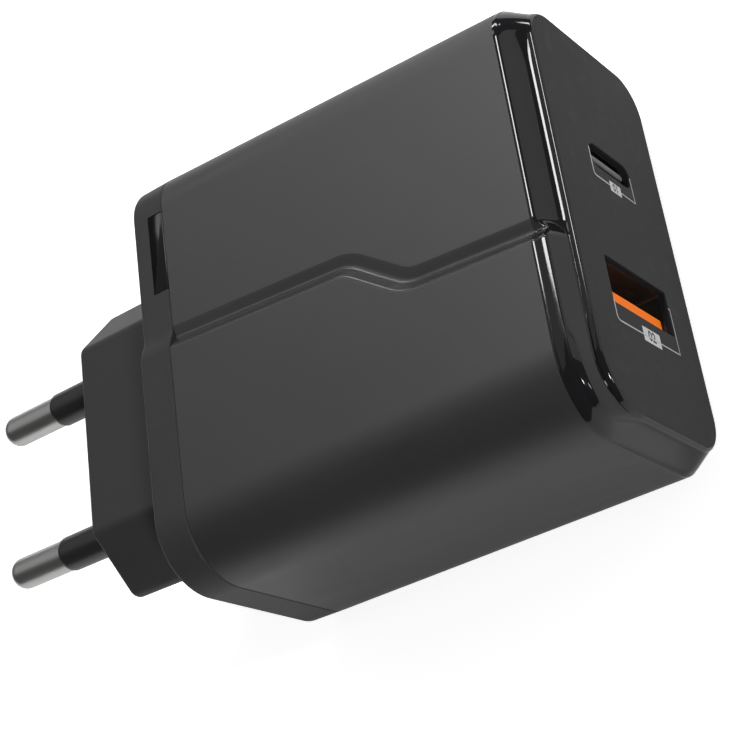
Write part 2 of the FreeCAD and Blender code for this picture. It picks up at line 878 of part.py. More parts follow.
def usb_c_tongue():
    x0 = x_cap - receptacle_depth
    back = usb_c_prism(x0, x0 + usb_c_back, -usb_c_wall - insert_gap).cut(usb_c_contact_boxes(insert_gap))
    half = usb_c_tongue_thickness / 2
    tongue = block(x0, x_cap - usb_c_tongue_recess, usb_c_y - half, usb_c_y + half,
                   port_height - usb_c_tongue_width / 2, port_height + usb_c_tongue_width / 2)
    return back.fuse(tongue).removeSplitter()


def parts():
    line_y = pin_spacing / 2
    return {
        "housing_shell": housing_shell(),
        "front_panel": front_panel(),
        "rear_cover": rear_cover(),
        "line_pin": plug_pin(line_y),
        "neutral_pin": plug_pin(-line_y),
        "line_pin_sleeve": pin_sleeve(line_y),
        "neutral_pin_sleeve": pin_sleeve(-line_y),
        "line_contact_spring": contact_spring(line_y),
        "neutral_contact_spring": contact_spring(-line_y),
        "indicator_window": indicator_window(),
        "indicator_led": indicator_led(),
        "led_spacer": led_spacer(),
        "main_board": main_board(),
        "insulating_sheet": insulating_sheet(),
        "fuse": fuse(),
        "varistor": disc(varistor_place, disc_diameter, disc_thickness),
        "inrush_thermistor": disc(thermistor_place, disc_diameter, disc_thickness),
        "x_capacitor": x_capacitor(),
        "bridge_rectifier": bridge_rectifier(),
        "choke_core": choke_core(),
        "choke_winding": choke_winding(),
        "bulk_capacitor_rear": can(bulk_places[0], bulk_diameter, bulk_height, bulk_pitch),
        "bulk_capacitor_front": can(bulk_places[1], bulk_diameter, bulk_height, bulk_pitch),
        "transformer_core": transformer_core(),
        "transformer_bobbin": transformer_bobbin(),
        "transformer_winding": transformer_winding(),
        "transformer_tape": transformer_tape(),
        "power_transistor": standing_block(transistor_place, transistor_size, board_top),
        "control_chip": standing_block(control_place, control_size, board_top),
        "optocoupler": standing_block(optocoupler_place, optocoupler_size, board_top),
        "y_capacitor": disc(y_capacitor_place, y_capacitor_diameter, y_capacitor_thickness),
        "output_capacitors": Part.makeCompound(
            [can(place, output_diameter, output_height, output_pitch) for place in output_places]),
        "chip_parts": chip_parts(),
        "thermal_pad": thermal_pad(),
        "heat_spreader": heat_spreader(),
        "port_board": port_board(),
        "protocol_chip": protocol_chip(),
        "usb_a_shell": usb_a_shell(),
        "usb_a_tongue": usb_a_tongue(),
        "usb_a_contacts": Part.makeCompound(usb_a_contact_boxes(0)),
        "usb_c_shell": usb_c_shell(),
        "usb_c_tongue": usb_c_tongue(),
        "usb_c_contacts": Part.makeCompound(usb_c_contact_boxes(0)),
    }


os.makedirs("parts", exist_ok=True)
for name, shape in parts().items():
    shape.exportStep(os.path.join("parts", name + ".step"))
    print(name, len(shape.Solids), "solid(s)", round(shape.Volume, 1), "mm3", shape.isValid())
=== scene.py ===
# Wall charger with two ports and round pins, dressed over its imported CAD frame.
# Sizes are in millimetres, and become metres when a mesh is made.
import json
import math
import bmesh
import bpy
from mathutils import Euler, Matrix, Vector, geometry


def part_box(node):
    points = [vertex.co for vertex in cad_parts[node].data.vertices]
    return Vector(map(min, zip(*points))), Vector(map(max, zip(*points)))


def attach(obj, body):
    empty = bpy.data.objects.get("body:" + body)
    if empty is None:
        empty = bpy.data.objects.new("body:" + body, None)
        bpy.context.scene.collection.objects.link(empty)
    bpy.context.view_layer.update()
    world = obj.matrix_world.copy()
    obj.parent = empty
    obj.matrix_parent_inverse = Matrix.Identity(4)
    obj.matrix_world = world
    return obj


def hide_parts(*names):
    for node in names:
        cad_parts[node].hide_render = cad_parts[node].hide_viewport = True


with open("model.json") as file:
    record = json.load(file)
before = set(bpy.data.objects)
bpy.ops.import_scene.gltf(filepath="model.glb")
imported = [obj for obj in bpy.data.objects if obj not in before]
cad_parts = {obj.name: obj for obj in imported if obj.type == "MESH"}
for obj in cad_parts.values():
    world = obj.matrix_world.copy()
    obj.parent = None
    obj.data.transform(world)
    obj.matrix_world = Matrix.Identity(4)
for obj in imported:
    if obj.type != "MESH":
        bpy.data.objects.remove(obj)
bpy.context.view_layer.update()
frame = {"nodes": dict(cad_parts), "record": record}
mm = 0.001
print("frame loaded,", len(frame["nodes"]), "nodes")


def nodeBox(node):
    low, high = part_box(node)
    return low / mm, high / mm


def section(node):
    # Middle and size of a node seen along X
    low, high = nodeBox(node)
    return (low.y + high.y) / 2, (low.z + high.z) / 2, high.y - low.y, high.z - low.z


xSeam, xCap = (corner.x for corner in nodeBox("housing_shell"))
xWall, xFront = (corner.x for corner in nodeBox("front_panel"))
xPlug, xSpigot = (corner.x for corner in nodeBox("rear_cover"))
xTip = nodeBox("line_pin")[0].x
pinY, plugMiddle = section("line_pin")[:2]
sleeveRadius = section("line_pin_sleeve")[2] / 2
windowLow, windowHigh = nodeBox("indicator_window")


# Mesh tools

# A guard ring lies close inside a rounded edge, so that the flat beside it shades flat
meshing = {"weld": 0.0005, "sharp": 32, "contactSharp": 40, "flatMargin": 0.12, "leadSteps": 8,
           "roundEnd": 0.001, "guard": 0.03, "rimGuard": 0.04, "edgeLead": 0.1}


def softMin(a, b, blend):
    near = max(blend - abs(a - b), 0.0) / blend
    return min(a, b) - near * near * blend / 4


def softMax(a, b, blend):
    return -softMin(-a, -b, blend)


def smoothStep(low, high, value):
    t = min(max((value - low) / (high - low), 0.0), 1.0)
    return t * t * (3 - 2 * t)


def mix(first, second, share):
    return first + (second - first) * share


def spread(start, end, count):
    return [start + (end - start) * k / (count - 1) for k in range(count)]


def quarterTurn(steps):
    # Sine and cosine on the way through a quarter turn
    turns = [math.radians(90 * k / steps) for k in range(steps + 1)]
    return [(math.sin(t), math.cos(t)) for t in turns]


def cornerArc(y, z, radius, start, steps, fill=0.0, lead=0.0):
    # A quarter turn, with a straight lead before and after it; fill pushes its middle outwards
    run = radius * math.pi / 2
    stops = [(0.0, run * k / steps) for k in range(steps + 1)]
    if lead:
        count = meshing["leadSteps"]
        stops = [(-lead * (1 - k / count), 0.0) for k in range(count)] + stops
        stops += [(lead * k / count, run) for k in range(1, count + 1)]
    arc = []
    for straight, along in stops:
        turn = math.radians(start) + along / max(radius, 1e-6)
        place = (straight + along - run / 2) / (lead + run / 2)
        reach = radius + fill * math.cos(math.pi / 2 * place) ** 2
        arc.append((y + reach * math.cos(turn) - straight * math.sin(turn),
                    z + reach * math.sin(turn) + straight * math.cos(turn)))
    return arc


def flatPoints(start, end, count=3):
    # Points between two tangent ends, one close to each, so that the flat shades flat
    span = Vector(end) - Vector(start)
    if span.length < 3 * meshing["flatMargin"]:
        return []
    lead = meshing["flatMargin"] / span.length
    steps = [lead] + spread(lead, 1 - lead, count + 2)[1:-1] + [1 - lead]
    return [tuple(Vector(start) + span * t) for t in steps]


def roundedRing(y, z, width, depth, radius, steps=8):
    halfY, halfZ = width / 2 - radius, depth / 2 - radius
    ring = []
    for k, (sideY, sideZ) in enumerate(((1, -1), (1, 1), (-1, 1), (-1, -1))):
        ring += cornerArc(y + sideY * halfY, z + sideZ * halfZ, radius, 90 * k - 90, steps)
    return ring


def sectionRing(node, grow, radius=None, steps=12):
    # A node's outline seen along X, grown on every side; without a radius its ends are fully round
    y, z, width, depth = section(node)
    width += 2 * grow
    end = width / 2 - meshing["roundEnd"]
    return roundedRing(y, z, width, depth + 2 * grow, end if radius is None else radius, steps)


def circleRing(y, z, radius, steps=48):
    turns = [2 * math.pi * k / steps for k in range(steps)]
    return [(y + radius * math.cos(t), z + radius * math.sin(t)) for t in turns]


def newSkin():
    return {"points": [], "faces": [], "finishes": []}


def addPoints(skin, points):
    start = len(skin["points"])
    skin["points"] += points
    return list(range(start, len(skin["points"])))


def addRing(skin, x, outline):
    return addPoints(skin, [(x, y, z) for y, z in outline])


def addFace(skin, corners, finish=0):
    skin["faces"].append(tuple(dict.fromkeys(corners)))
    skin["finishes"].append(finish)


def bridge(skin, first, second, finish=0):
    # Rings run anticlockwise seen from +X; going towards +X the faces look outwards
    finishes = finish if isinstance(finish, list) else [finish] * len(first)
    for k, here in enumerate(finishes):
        after = (k + 1) % len(first)
        addFace(skin, (first[k], first[after], second[after], second[k]), here)


def bridgeAll(skin, rings):
    for before, after in zip(rings, rings[1:]):
        bridge(skin, before, after)


def plate(skin, outer, facing, holes=(), finish=0):
    loops = [[Vector(skin["points"][k]) for k in ring] for ring in (outer, *holes)]
    order = [k for ring in (outer, *holes) for k in ring]
    for triangle in geometry.tessellate_polygon(loops):
        corners = [order[k] for k in triangle]
        a, b, c = (Vector(skin["points"][k]) for k in corners)
        if (b - a).cross(c - a).x * facing < 0:
            corners.reverse()
        addFace(skin, corners, finish)


def fillTube(skin, rings):
    # A tube along X through the rings, closed at both ends
    bridgeAll(skin, rings)
    plate(skin, rings[0], -1)
    plate(skin, rings[-1], 1)


def lathe(skin, middle, profile, steps, upright=False, closed=False):
    # profile is (place, radius) pairs along X, or along Z where upright; closed joins its ends
    rings = []
    for place, radius in profile:
        outline = circleRing(*middle, radius, steps if radius else 1)
        ring = addPoints(skin, [(a, b, place) if upright else (place, a, b) for a, b in outline])
        rings.append(ring if radius else ring * steps)
    bridgeAll(skin, rings + rings[:1] if closed else rings)


def addObject(name, data):
    made = bpy.data.objects.new(name, data)
    bpy.context.scene.collection.objects.link(made)
    return made


def smoothMesh(mesh, sharp):
    mesh.shade_smooth()
    mesh.set_sharp_from_angle(angle=math.radians(sharp))


def placePiece(name, mesh, node=None):
    piece = addObject(name, mesh)
    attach(piece, "root")
    if node:
        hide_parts(node)


def makePiece(name, skin, materials, node=None):
    mesh = bpy.data.meshes.new(name)
    mesh.from_pydata([Vector(p) * mm for p in skin["points"]], [], skin["faces"])
    mesh.polygons.foreach_set("material_index", skin["finishes"])
    welded = bmesh.new()
    welded.from_mesh(mesh)
    bmesh.ops.remove_doubles(welded, verts=welded.verts, dist=meshing["weld"] * mm)
    bmesh.ops.dissolve_degenerate(welded, edges=welded.edges, dist=meshing["weld"] * mm)
    welded.to_mesh(mesh)
    welded.free()
    smoothMesh(mesh, meshing["sharp"])
    for material in materials:
        mesh.materials.append(material)
    placePiece(name, mesh, node)


def takeMesh(helper):
    # A helper's finished mesh; the helper itself goes
    graph = bpy.context.evaluated_depsgraph_get()
    mesh = bpy.data.meshes.new_from_object(helper.evaluated_get(graph))
    bpy.data.objects.remove(helper)
    return mesh


# Camera, at a three-quarter view from the port end

camera = {"place": (102.881, -79.645, 150.200), "turn": (19.1822, 36.7260, -9.7322), "lens": 79.11,
          "sensor": 36, "clipStart": 0.01}


def makeCamera():
    lens = bpy.data.cameras.new("mainCamera")
    lens.lens = camera["lens"]
    lens.sensor_width = camera["sensor"]
    lens.clip_start = camera["clipStart"]
    eye = addObject("mainCamera", lens)
    eye.location = Vector(camera["place"]) * mm
    eye.rotation_euler = Euler([math.radians(a) for a in camera["turn"]], "XYZ")
    bpy.context.scene.camera = eye


makeCamera()
print("camera placed")


# Node tools, and the shader groups shared by the materials

def setInputs(tree, node, inputs):
    # Each socket gets a value, or takes another node's output
    for key, value in inputs.items():
        if isinstance(value, bpy.types.NodeSocket):
            tree.links.new(value, node.inputs[key])
        else:
            node.inputs[key].default_value = value
    return node


def addNode(tree, kind, inputs, **settings):
    node = tree.nodes.new(kind)
    for key, value in settings.items():
        setattr(node, key, value)
    return setInputs(tree, node, inputs)


def maths(tree, operation, a, b=0.0, c=0.0, clamp=False):
    node = addNode(tree, "ShaderNodeMath", {0: a, 1: b, 2: c}, operation=operation, use_clamp=clamp)
    return node.outputs[0]


def remap(tree, value, low, high, top=1.0):
    return addNode(tree, "ShaderNodeMapRange", {
        "Value": value, "From Min": low, "From Max": high, "To Max": top}).outputs["Result"]


def noise(tree, place, scale, detail, **more):
    inputs = {"Vector": place, "Scale": scale, "Detail": detail, **more}
    return addNode(tree, "ShaderNodeTexNoise", inputs).outputs[0]


def mixColours(tree, mask, first, second):
    return addNode(tree, "ShaderNodeMixRGB", {"Fac": mask, "Color1": first, "Color2": second}).outputs[0]


def newTree(name, kind, inputs, results):
    tree = bpy.data.node_groups.new(name, kind)
    for label, (socket, value) in inputs.items():
        made = tree.interface.new_socket(label, in_out="INPUT", socket_type="NodeSocket" + socket)
        if value is not None:
            made.default_value = value
    for label, socket in results.items():
        tree.interface.new_socket(label, in_out="OUTPUT", socket_type="NodeSocket" + socket)
    return tree, tree.nodes.new("NodeGroupInput").outputs, tree.nodes.new("NodeGroupOutput")


def newGroup(name, sizes, masks):
    inputs = {"Vector": ("Vector", None), **{label: ("Float", value) for label, value in sizes.items()}}
    return newTree(name, "ShaderNodeTree", inputs, dict.fromkeys(masks, "Float"))


def makeMouldGrain():
    # Spark-eroded mould texture: fine pits with a faint slow swell under them
    group, given, result = newGroup("mouldGrain", {"Grain Size": 0.12, "Swell": 0.3}, ("Height", "Variation"))
    scale = maths(group, "DIVIDE", 1 / mm, given["Grain Size"])
    fine = noise(group, given["Vector"], scale, 3.0, Roughness=0.55)
    pits = addNode(group, "ShaderNodeTexVoronoi", {
        "Vector": given["Vector"], "Scale": scale, "Smoothness": 0.8}, feature="SMOOTH_F1")
    swell = noise(group, given["Vector"], maths(group, "MULTIPLY", scale, 0.05), 2.0)
    rough = maths(group, "ADD", fine, maths(group, "MULTIPLY", pits.outputs["Distance"], 0.5))
    height = maths(group, "MULTIPLY_ADD", swell, given["Swell"], rough)
    setInputs(group, result, {"Height": height, "Variation": fine})
    return group


def makeHandling():
    # Slow patches and sparse wipe marks from handling
    group, given, result = newGroup("handling", {"Patch Size": 9.0}, ("Tone", "Wipe"))
    scale = maths(group, "DIVIDE", 1 / mm, given["Patch Size"])
    patches = noise(group, given["Vector"], scale, 4.0, Distortion=0.4)
    turned = addNode(group, "ShaderNodeMapping", {
        "Vector": given["Vector"], "Rotation": (0.3, 0.2, 0.5), "Scale": (0.25, 1.6, 1.6)})
    wipes = noise(group, turned.outputs[0], maths(group, "MULTIPLY", scale, 3.0), 3.0)
    setInputs(group, result, {"Tone": patches, "Wipe": remap(group, wipes, 0.55, 0.75)})
    return group


def makeEdgeWear():
    # Where the surface turns sharply the skin is polished by use; broken up so that it isn't a line
    group, given, result = newGroup("edgeWear", {"Reach": 0.25}, ("Mask",))
    reach = maths(group, "MULTIPLY", given["Reach"], mm)
    soft = addNode(group, "ShaderNodeBevel", {"Radius": reach}, samples=4)
    plain = addNode(group, "ShaderNodeNewGeometry", {}).outputs["Normal"]
    facing = addNode(group, "ShaderNodeVectorMath", {0: soft.outputs[0], 1: plain}, operation="DOT_PRODUCT")
    turn = remap(group, facing.outputs["Value"], 0.99, 0.85)
    broken = remap(group, noise(group, given["Vector"], 700.0, 4.0), 0.35, 0.65)
    setInputs(group, result, {"Mask": maths(group, "MULTIPLY", turn, broken)})
    return group


def makeDrawnLines():
    # Lines left along X by drawing
    group, given, result = newGroup("drawnLines", {"Line Size": 0.08, "Stretch": 0.03}, ("Height", "Tone"))
    scale = maths(group, "DIVIDE", 1 / mm, given["Line Size"])
    along = addNode(group, "ShaderNodeSeparateXYZ", {0: given["Vector"]}).outputs
    shrunk = maths(group, "MULTIPLY", along["X"], given["Stretch"])
    squeezed = addNode(group, "ShaderNodeCombineXYZ", {
        "X": shrunk, "Y": along["Y"], "Z": along["Z"]}).outputs[0]
    wide = noise(group, squeezed, maths(group, "MULTIPLY", scale, 0.2), 2.0)
    setInputs(group, result, {"Height": noise(group, squeezed, scale, 4.0), "Tone": wide})
    return group


mouldGrain = makeMouldGrain()
handling = makeHandling()
edgeWear = makeEdgeWear()
drawnLines = makeDrawnLines()


# Materials

def newMaterial(name):
    material = bpy.data.materials.new(name)
    material.use_nodes = True
    tree = material.node_tree
    place = tree.nodes.new("ShaderNodeTexCoord").outputs["Object"]
    return material, tree, tree.nodes["Principled BSDF"], place


def placeGroup(tree, group, place, sizes):
    return addNode(tree, "ShaderNodeGroup", {"Vector": place, **sizes}, node_tree=group).outputs


def shade(colour, factor):
    return tuple(min(c * factor, 1.0) for c in colour) + (1.0,)


def toned(tree, mask, colour, tone):
    return mixColours(tree, mask, shade(colour, 1 - tone), shade(colour, 1 + tone))


def variedRoughness(tree, mask, finish):
    middle = finish["roughness"] - finish["roughSpread"] / 2
    return maths(tree, "MULTIPLY_ADD", mask, finish["roughSpread"], middle)


def addBump(tree, shader, height, strength, distance):
    bump = addNode(tree, "ShaderNodeBump", {
        "Height": height, "Strength": strength, "Distance": distance * mm})
    tree.links.new(bump.outputs[0], shader.inputs["Normal"])


# Mould grain has a size, a swell, a depth and a relief; speckle, tone and patch vary the colour
plainPlastic = {
    "ior": 1.5, "roughness": 0.46, "roughSpread": 0.08, "wipe": 0.05, "tone": 0.12, "speckle": 0.25,
    "grain": 0.10, "swell": 0.3, "depth": 0.2, "relief": 0.005, "patch": 4.0, "wear": 0.2, "wearReach": 0.2}
glossyPlastic = {
    "ior": 1.42, "wipe": 0.02, "tone": 0.15, "speckle": 0.03, "grain": 0.5, "swell": 0.6, "depth": 0.08,
    "relief": 0.004, "patch": 7.0, "wear": 0.15}
plastics = {
    "matteShell": {"colour": (0.021, 0.021, 0.022), "swell": 0.25, "depth": 0.35, "relief": 0.006,
                   "patch": 11.0, "wear": 0.25, "wearReach": 0.25},
    "glossBand": {**glossyPlastic, "colour": (0.009, 0.009, 0.010), "roughness": 0.075, "roughSpread": 0.03},
    # The groove's satin roughness is its own finish; its base colour is lifted well above the band's as
    # painted reflection, standing in for brighter surroundings mirrored in the groove
    "grooveSatinPaintedReflection": {**glossyPlastic, "colour": (0.028, 0.028, 0.029), "ior": 1.40, "roughness": 0.25,
                    "roughSpread": 0.04},
    "satinPanel": {"colour": (0.012, 0.012, 0.013), "ior": 1.20, "roughness": 0.52, "roughSpread": 0.07,
                   "speckle": 0.20, "grain": 0.09, "swell": 0.2, "depth": 0.25, "patch": 8.0, "wear": 0.35},
    "coverPlastic": {"colour": (0.034, 0.034, 0.035), "ior": 1.22, "swell": 0.25, "depth": 0.30,
                     "relief": 0.006, "patch": 9.0, "wear": 0.25, "wearReach": 0.25},
    "sleevePlastic": {"colour": (0.013, 0.013, 0.014), "roughness": 0.34, "wipe": 0.06, "tone": 0.15,
                      "speckle": 0.15, "grain": 0.12, "wear": 0.5, "wearReach": 0.15},
    "smokedWindow": {"colour": (0.004, 0.004, 0.005), "ior": 1.28, "roughness": 0.12, "roughSpread": 0.05,
                     "tone": 0.2, "speckle": 0.02, "grain": 0.4, "swell": 0.5, "depth": 0.06, "relief": 0.003,
                     "wearReach": 0.12},
    "orangePlastic": {"colour": (1.0, 0.20, 0.006), "ior": 1.16, "roughness": 0.5, "tone": 0.06,
                      "speckle": 0.0, "grain": 0.12, "depth": 0.15, "patch": 3.0, "wear": 0.1,
                      "wearReach": 0.1},
    "blackTongue": {"colour": (0.040, 0.040, 0.042), "roughness": 0.35, "speckle": 0.1, "relief": 0.004,
                    "patch": 2.0, "wearReach": 0.08},
}
plasticLook = {"speckleShade": 2.2, "wornShade": 2.6, "wornPolish": 0.15}


def usedSurface(tree, place, finish):
    # Handling marks and the mask of the worn edges
    marks = placeGroup(tree, handling, place, {"Patch Size": finish["patch"]})
    return marks, placeGroup(tree, edgeWear, place, {"Reach": finish["wearReach"]})["Mask"]


def mouldedPlastic(name, own):
    finish = {**plainPlastic, **own}
    colour = finish["colour"]
    material, tree, shader, place = newMaterial(name)
    grain = placeGroup(tree, mouldGrain, place, {"Grain Size": finish["grain"], "Swell": finish["swell"]})
    marks, wear = usedSurface(tree, place, finish)
    speckle = remap(tree, grain["Variation"], 0.35, 0.7, finish["speckle"])
    base = toned(tree, marks["Tone"], colour, finish["tone"])
    base = mixColours(tree, speckle, base, shade(colour, plasticLook["speckleShade"]))
    base = mixColours(tree, maths(tree, "MULTIPLY", wear, finish["wear"]), base,
                      shade(colour, plasticLook["wornShade"]))
    rough = variedRoughness(tree, marks["Tone"], finish)
    rough = maths(tree, "MULTIPLY_ADD", marks["Wipe"], -finish["wipe"], rough)
    rough = maths(tree, "MULTIPLY_ADD", wear, -finish["wear"] * plasticLook["wornPolish"], rough, clamp=True)
    setInputs(tree, shader, {"Base Color": base, "Roughness": rough, "IOR": finish["ior"]})
    addBump(tree, shader, grain["Height"], finish["depth"], finish["relief"])
    return material


plainMetal = {
    "roughSpread": 0.12, "tone": 0.08, "line": 0.06, "stretch": 0.05, "depth": 0.3, "relief": 0.004,
    "patch": 3.0, "patchRough": 0.08, "stain": 0.2, "wear": 0.3, "wornShade": 1.25, "wearReach": 0.1}
metals = {
    "pinNickel": {"colour": (0.47, 0.465, 0.46), "roughness": 0.30, "line": 0.07, "stretch": 0.03,
                  "stain": 0.15, "stainColour": (0.35, 0.34, 0.33), "wearReach": 0.2},
    "portSteel": {"colour": (0.20, 0.195, 0.19), "roughness": 0.30, "stainColour": (0.28, 0.25, 0.22)},
    "smallPortSteel": {"colour": (0.07, 0.069, 0.068), "roughness": 0.34,
                       "stainColour": (0.05, 0.048, 0.045)},
    "contactGold": {"colour": (0.78, 0.56, 0.22), "roughness": 0.25, "roughSpread": 0.1, "tone": 0.06,
                    "line": 0.05, "stretch": 0.1, "depth": 0.2, "patch": 2.0,
                    "stainColour": (0.45, 0.30, 0.12), "wear": 0.2, "wearReach": 0.05},
}


def drawnMetal(name, own):
    finish = {**plainMetal, **own}
    colour = finish["colour"]
    material, tree, shader, place = newMaterial(name)
    lines = placeGroup(tree, drawnLines, place, {"Line Size": finish["line"], "Stretch": finish["stretch"]})
    marks, wear = usedSurface(tree, place, finish)
    base = toned(tree, lines["Tone"], colour, finish["tone"])
    base = mixColours(tree, maths(tree, "MULTIPLY", marks["Wipe"], finish["stain"]), base,
                      shade(finish["stainColour"], 1))
    base = mixColours(tree, maths(tree, "MULTIPLY", wear, finish["wear"]), base,
                      shade(colour, finish["wornShade"]))
    rough = variedRoughness(tree, lines["Height"], finish)
    rough = maths(tree, "MULTIPLY_ADD", marks["Tone"], finish["patchRough"], rough, clamp=True)
    setInputs(tree, shader, {"Base Color": base, "Roughness": rough, "Metallic": 1.0})
    addBump(tree, shader, lines["Height"], finish["depth"], finish["relief"])
    return material


inks = {
    "lineInk": {"colour": (0.42, 0.42, 0.43), "roughness": 0.45},
    "boxInk": {"colour": (0.52, 0.53, 0.54), "roughness": 0.45},
    "numeralInk": {"colour": (0.03, 0.03, 0.03), "roughness": 0.5},
}
inkLook = {"grain": 0.06, "swell": 0.4, "thin": 0.86, "thick": 1.06, "roughSpread": 0.12, "depth": 0.15,
           "relief": 0.003}


def printedInk(name, finish):
    # Thin pad-printed ink, a little uneven where it wetted out
    material, tree, shader, place = newMaterial(name)
    colour = finish["colour"]
    grain = placeGroup(tree, mouldGrain, place, {"Grain Size": inkLook["grain"], "Swell": inkLook["swell"]})
    patch = remap(tree, grain["Variation"], 0.3, 0.7)
    base = mixColours(tree, patch, shade(colour, inkLook["thin"]), shade(colour, inkLook["thick"]))
    rough = maths(tree, "MULTIPLY_ADD", patch, inkLook["roughSpread"], finish["roughness"])
    setInputs(tree, shader, {"Base Color": base, "Roughness": rough})
    addBump(tree, shader, grain["Height"], inkLook["depth"], inkLook["relief"])
    return material


paint = {}
for recipe, table in ((mouldedPlastic, plastics), (drawnMetal, metals), (printedInk, inks)):
    paint.update({name: recipe(name, finish) for name, finish in table.items()})
print("materials made")


# Body outline, shared by the shell, the front panel and the rear cover

body = {"width": 49.8, "sideDraft": 1.0, "height": 28.75, "faceDraft": 2.0, "step": 0.8, "wall": 2.0,
        "play": 0.15, "corner": 5.3, "nearCorner": 7.7, "cornerSteps": 20, "nearCornerSteps": 24,
        "seamChamfer": 0.12}
# Pairs are for the lower half of the wide face and for the proud half near the large port
band = {"length": 2.7, "start": (0.32, 1.316), "slope": (1.2, 1.86), "edgeBlend": (0.45, 0.12),
        "footBlend": (0.9, 0.2), "inset": (1.95, 1.6), "crown": 0.27, "crownStart": 0.65, "fillStart": 1.1,
        "fillEnd": 2.0, "finishStep": 0.036, "finishRun": 0.13, "skirtStart": 0.2, "skirtSlope": 0.656,
        "lead": 3.5, "glossEdge": 0.2}
groove = {"y": 2.6, "skew": 2.3, "jogStart": 23.6, "jogLength": 6.55, "jogDrop": 4.86, "bend": 4.8,
          "half": 1.3, "depth": 0.4, "valleyBlend": 0.5, "nearLip": 0.23, "farLip": 0.08, "reach": 1.9,
          "steps": 39, "glossSide": 1.42, "waveStart": 19, "waveEnd": 35.5}
bandShape = ("start", "slope", "edgeBlend", "footBlend", "inset")
farAway = 99.0  # marks a point that isn't near the groove
xEdge = xCap - band["length"]
lowLevel = body["height"] - body["step"]
sideSlope = math.tan(math.radians(body["sideDraft"]))
faceSlope = math.tan(math.radians(body["faceDraft"]))
panelTop = lowLevel - (xEdge - xSeam) * faceSlope


def waveLine(x, offset):
    # Y of the groove's line at x, for a line run offset from its middle towards +Y
    u = x - xSeam
    first = -math.radians(groove["skew"])
    second = -math.atan2(groove["jogDrop"], groove["jogLength"])
    along = Vector((math.cos(first), math.sin(first))) * (groove["bend"] * math.tan((first - second) / 2))
    across = Vector((math.sin(first), -math.cos(first))) * groove["bend"]
    corner = Vector((groove["jogStart"], groove["y"] + math.tan(first) * groove["jogStart"]))
    entry = corner - along
    leaving = corner + Vector((groove["jogLength"], -groove["jogDrop"])) + along
    centre = entry + across
    other = leaving - across
    outer = groove["bend"] + offset
    inner = groove["bend"] - offset
    if u <= centre.x - outer * math.sin(first):
        return entry.y + (u - entry.x) * math.tan(first) + offset / math.cos(first)
    if u <= centre.x - outer * math.sin(second):
        return centre.y + math.sqrt(max(outer ** 2 - (u - centre.x) ** 2, 0.0))
    if u <= other.x + inner * math.sin(second):
        return corner.y + (u - corner.x) * math.tan(second) + offset / math.cos(second)
    if u <= other.x + inner * math.sin(first):
        return other.y - math.sqrt(max(inner ** 2 - (u - other.x) ** 2, 0.0))
    return leaving.y + (u - leaving.x) * math.tan(first) + offset / math.cos(first)


def reliefHeight(offset):
    near = -groove["depth"] - offset * (body["step"] + groove["depth"]) / groove["half"]
    far = -groove["depth"] + offset * groove["depth"] / groove["half"]
    valley = softMax(near, far, groove["valleyBlend"])
    if offset < 0:
        return softMin(valley, body["step"], groove["nearLip"])
    return softMin(valley, 0.0, groove["farLip"])


def bandInset(x):
    start, slope, edgeBlend, footBlend, inset = (band[key][0] for key in bandShape)
    return softMin(softMax(0.0, (x - xEdge - start) * slope, edgeBlend), inset, footBlend)


def skirtInset(x):
    # In the middle of a corner the foot fades out, and one slope runs from the edge to the panel's face
    return softMax(0.0, (x - xEdge - band["skirtStart"]) * band["skirtSlope"], band["edgeBlend"][0])


def halfWidth(x):
    return body["width"] / 2 - (min(x, xEdge) - xSeam) * sideSlope


def faceHeight(x, offset):
    level = lowLevel - (min(x, xEdge) - xSeam) * faceSlope
    past = x - xEdge
    # the proud half rounds over first, and then falls more steeply
    near = 1 - smoothStep(-groove["half"], groove["half"], offset)
    start, slope, edgeBlend, footBlend, inset = (mix(*band[key], near) for key in bandShape)
    crown = near * band["crown"] * max(past - band["crownStart"], 0.0) ** 2
    crown += near * band["finishStep"] * min(max(past / band["finishRun"], 0.0), 1.0)
    falling = level + body["step"] * near - (past - start) * slope
    edge = softMin(level + reliefHeight(offset) - crown, falling, edgeBlend)
    return softMax(edge, level - inset, footBlend)


def bodyRing(half, low, small, large, farHigh, nearHigh, tops, fill=0.0, lead=0.0, nearFill=0.0):
    # large is the corner between the near side and the wide face, and small the other three
    steps = body["cornerSteps"]
    ring = cornerArc(half - small, low + small, small, -90, steps, fill, lead)
    ring += flatPoints((half, low + small + lead), (half, farHigh - small - lead))
    ring += cornerArc(half - small, farHigh - small, small, 0, steps, fill, lead)
    ring += tops
    ring += cornerArc(-half + large, nearHigh - large, large, 90, body["nearCornerSteps"], nearFill, lead)
    ring += flatPoints((-half, nearHigh - large - lead), (-half, low + small + lead))
    ring += cornerArc(-half + small, low + small, small, 180, steps, fill, lead)
    ring += flatPoints((-half + small + lead, low), (half - small - lead, low), 5)
    return ring


def plainRing(half, inset, high, small, large):
    tops = flatPoints((half - small, high), (-half + large, high), 5)
    return bodyRing(half, inset, small, large, high, high, tops)


def cavityRing(x, inset):
    # Inside of the body at the lower level; the same outline serves the cover's spigot
    inset += body["wall"]
    high = lowLevel - (x - xSeam) * faceSlope - inset
    half = body["width"] / 2 - (x - xSeam) * sideSlope - inset
    return plainRing(half, inset, high, body["corner"] - inset, body["nearCorner"] - inset)


def waveTops(x, half, small, large, inset):
    # The wide face from +Y to -Y at one place along the length, and how far each point is from the groove
    offsets = spread(groove["reach"], -groove["reach"], groove["steps"])
    middle = [(waveLine(x, offset), faceHeight(x, offset) - inset) for offset in offsets]
    farHigh, nearHigh = middle[0][1], middle[-1][1]
    far = flatPoints((half - small - band["lead"], farHigh), middle[0], 7)
    near = flatPoints(middle[-1], (-half + large + band["lead"], nearHigh), 7)
    apart = [farAway] * len(far) + offsets + [farAway] * len(near)
    return far + middle + near, farHigh, nearHigh, apart


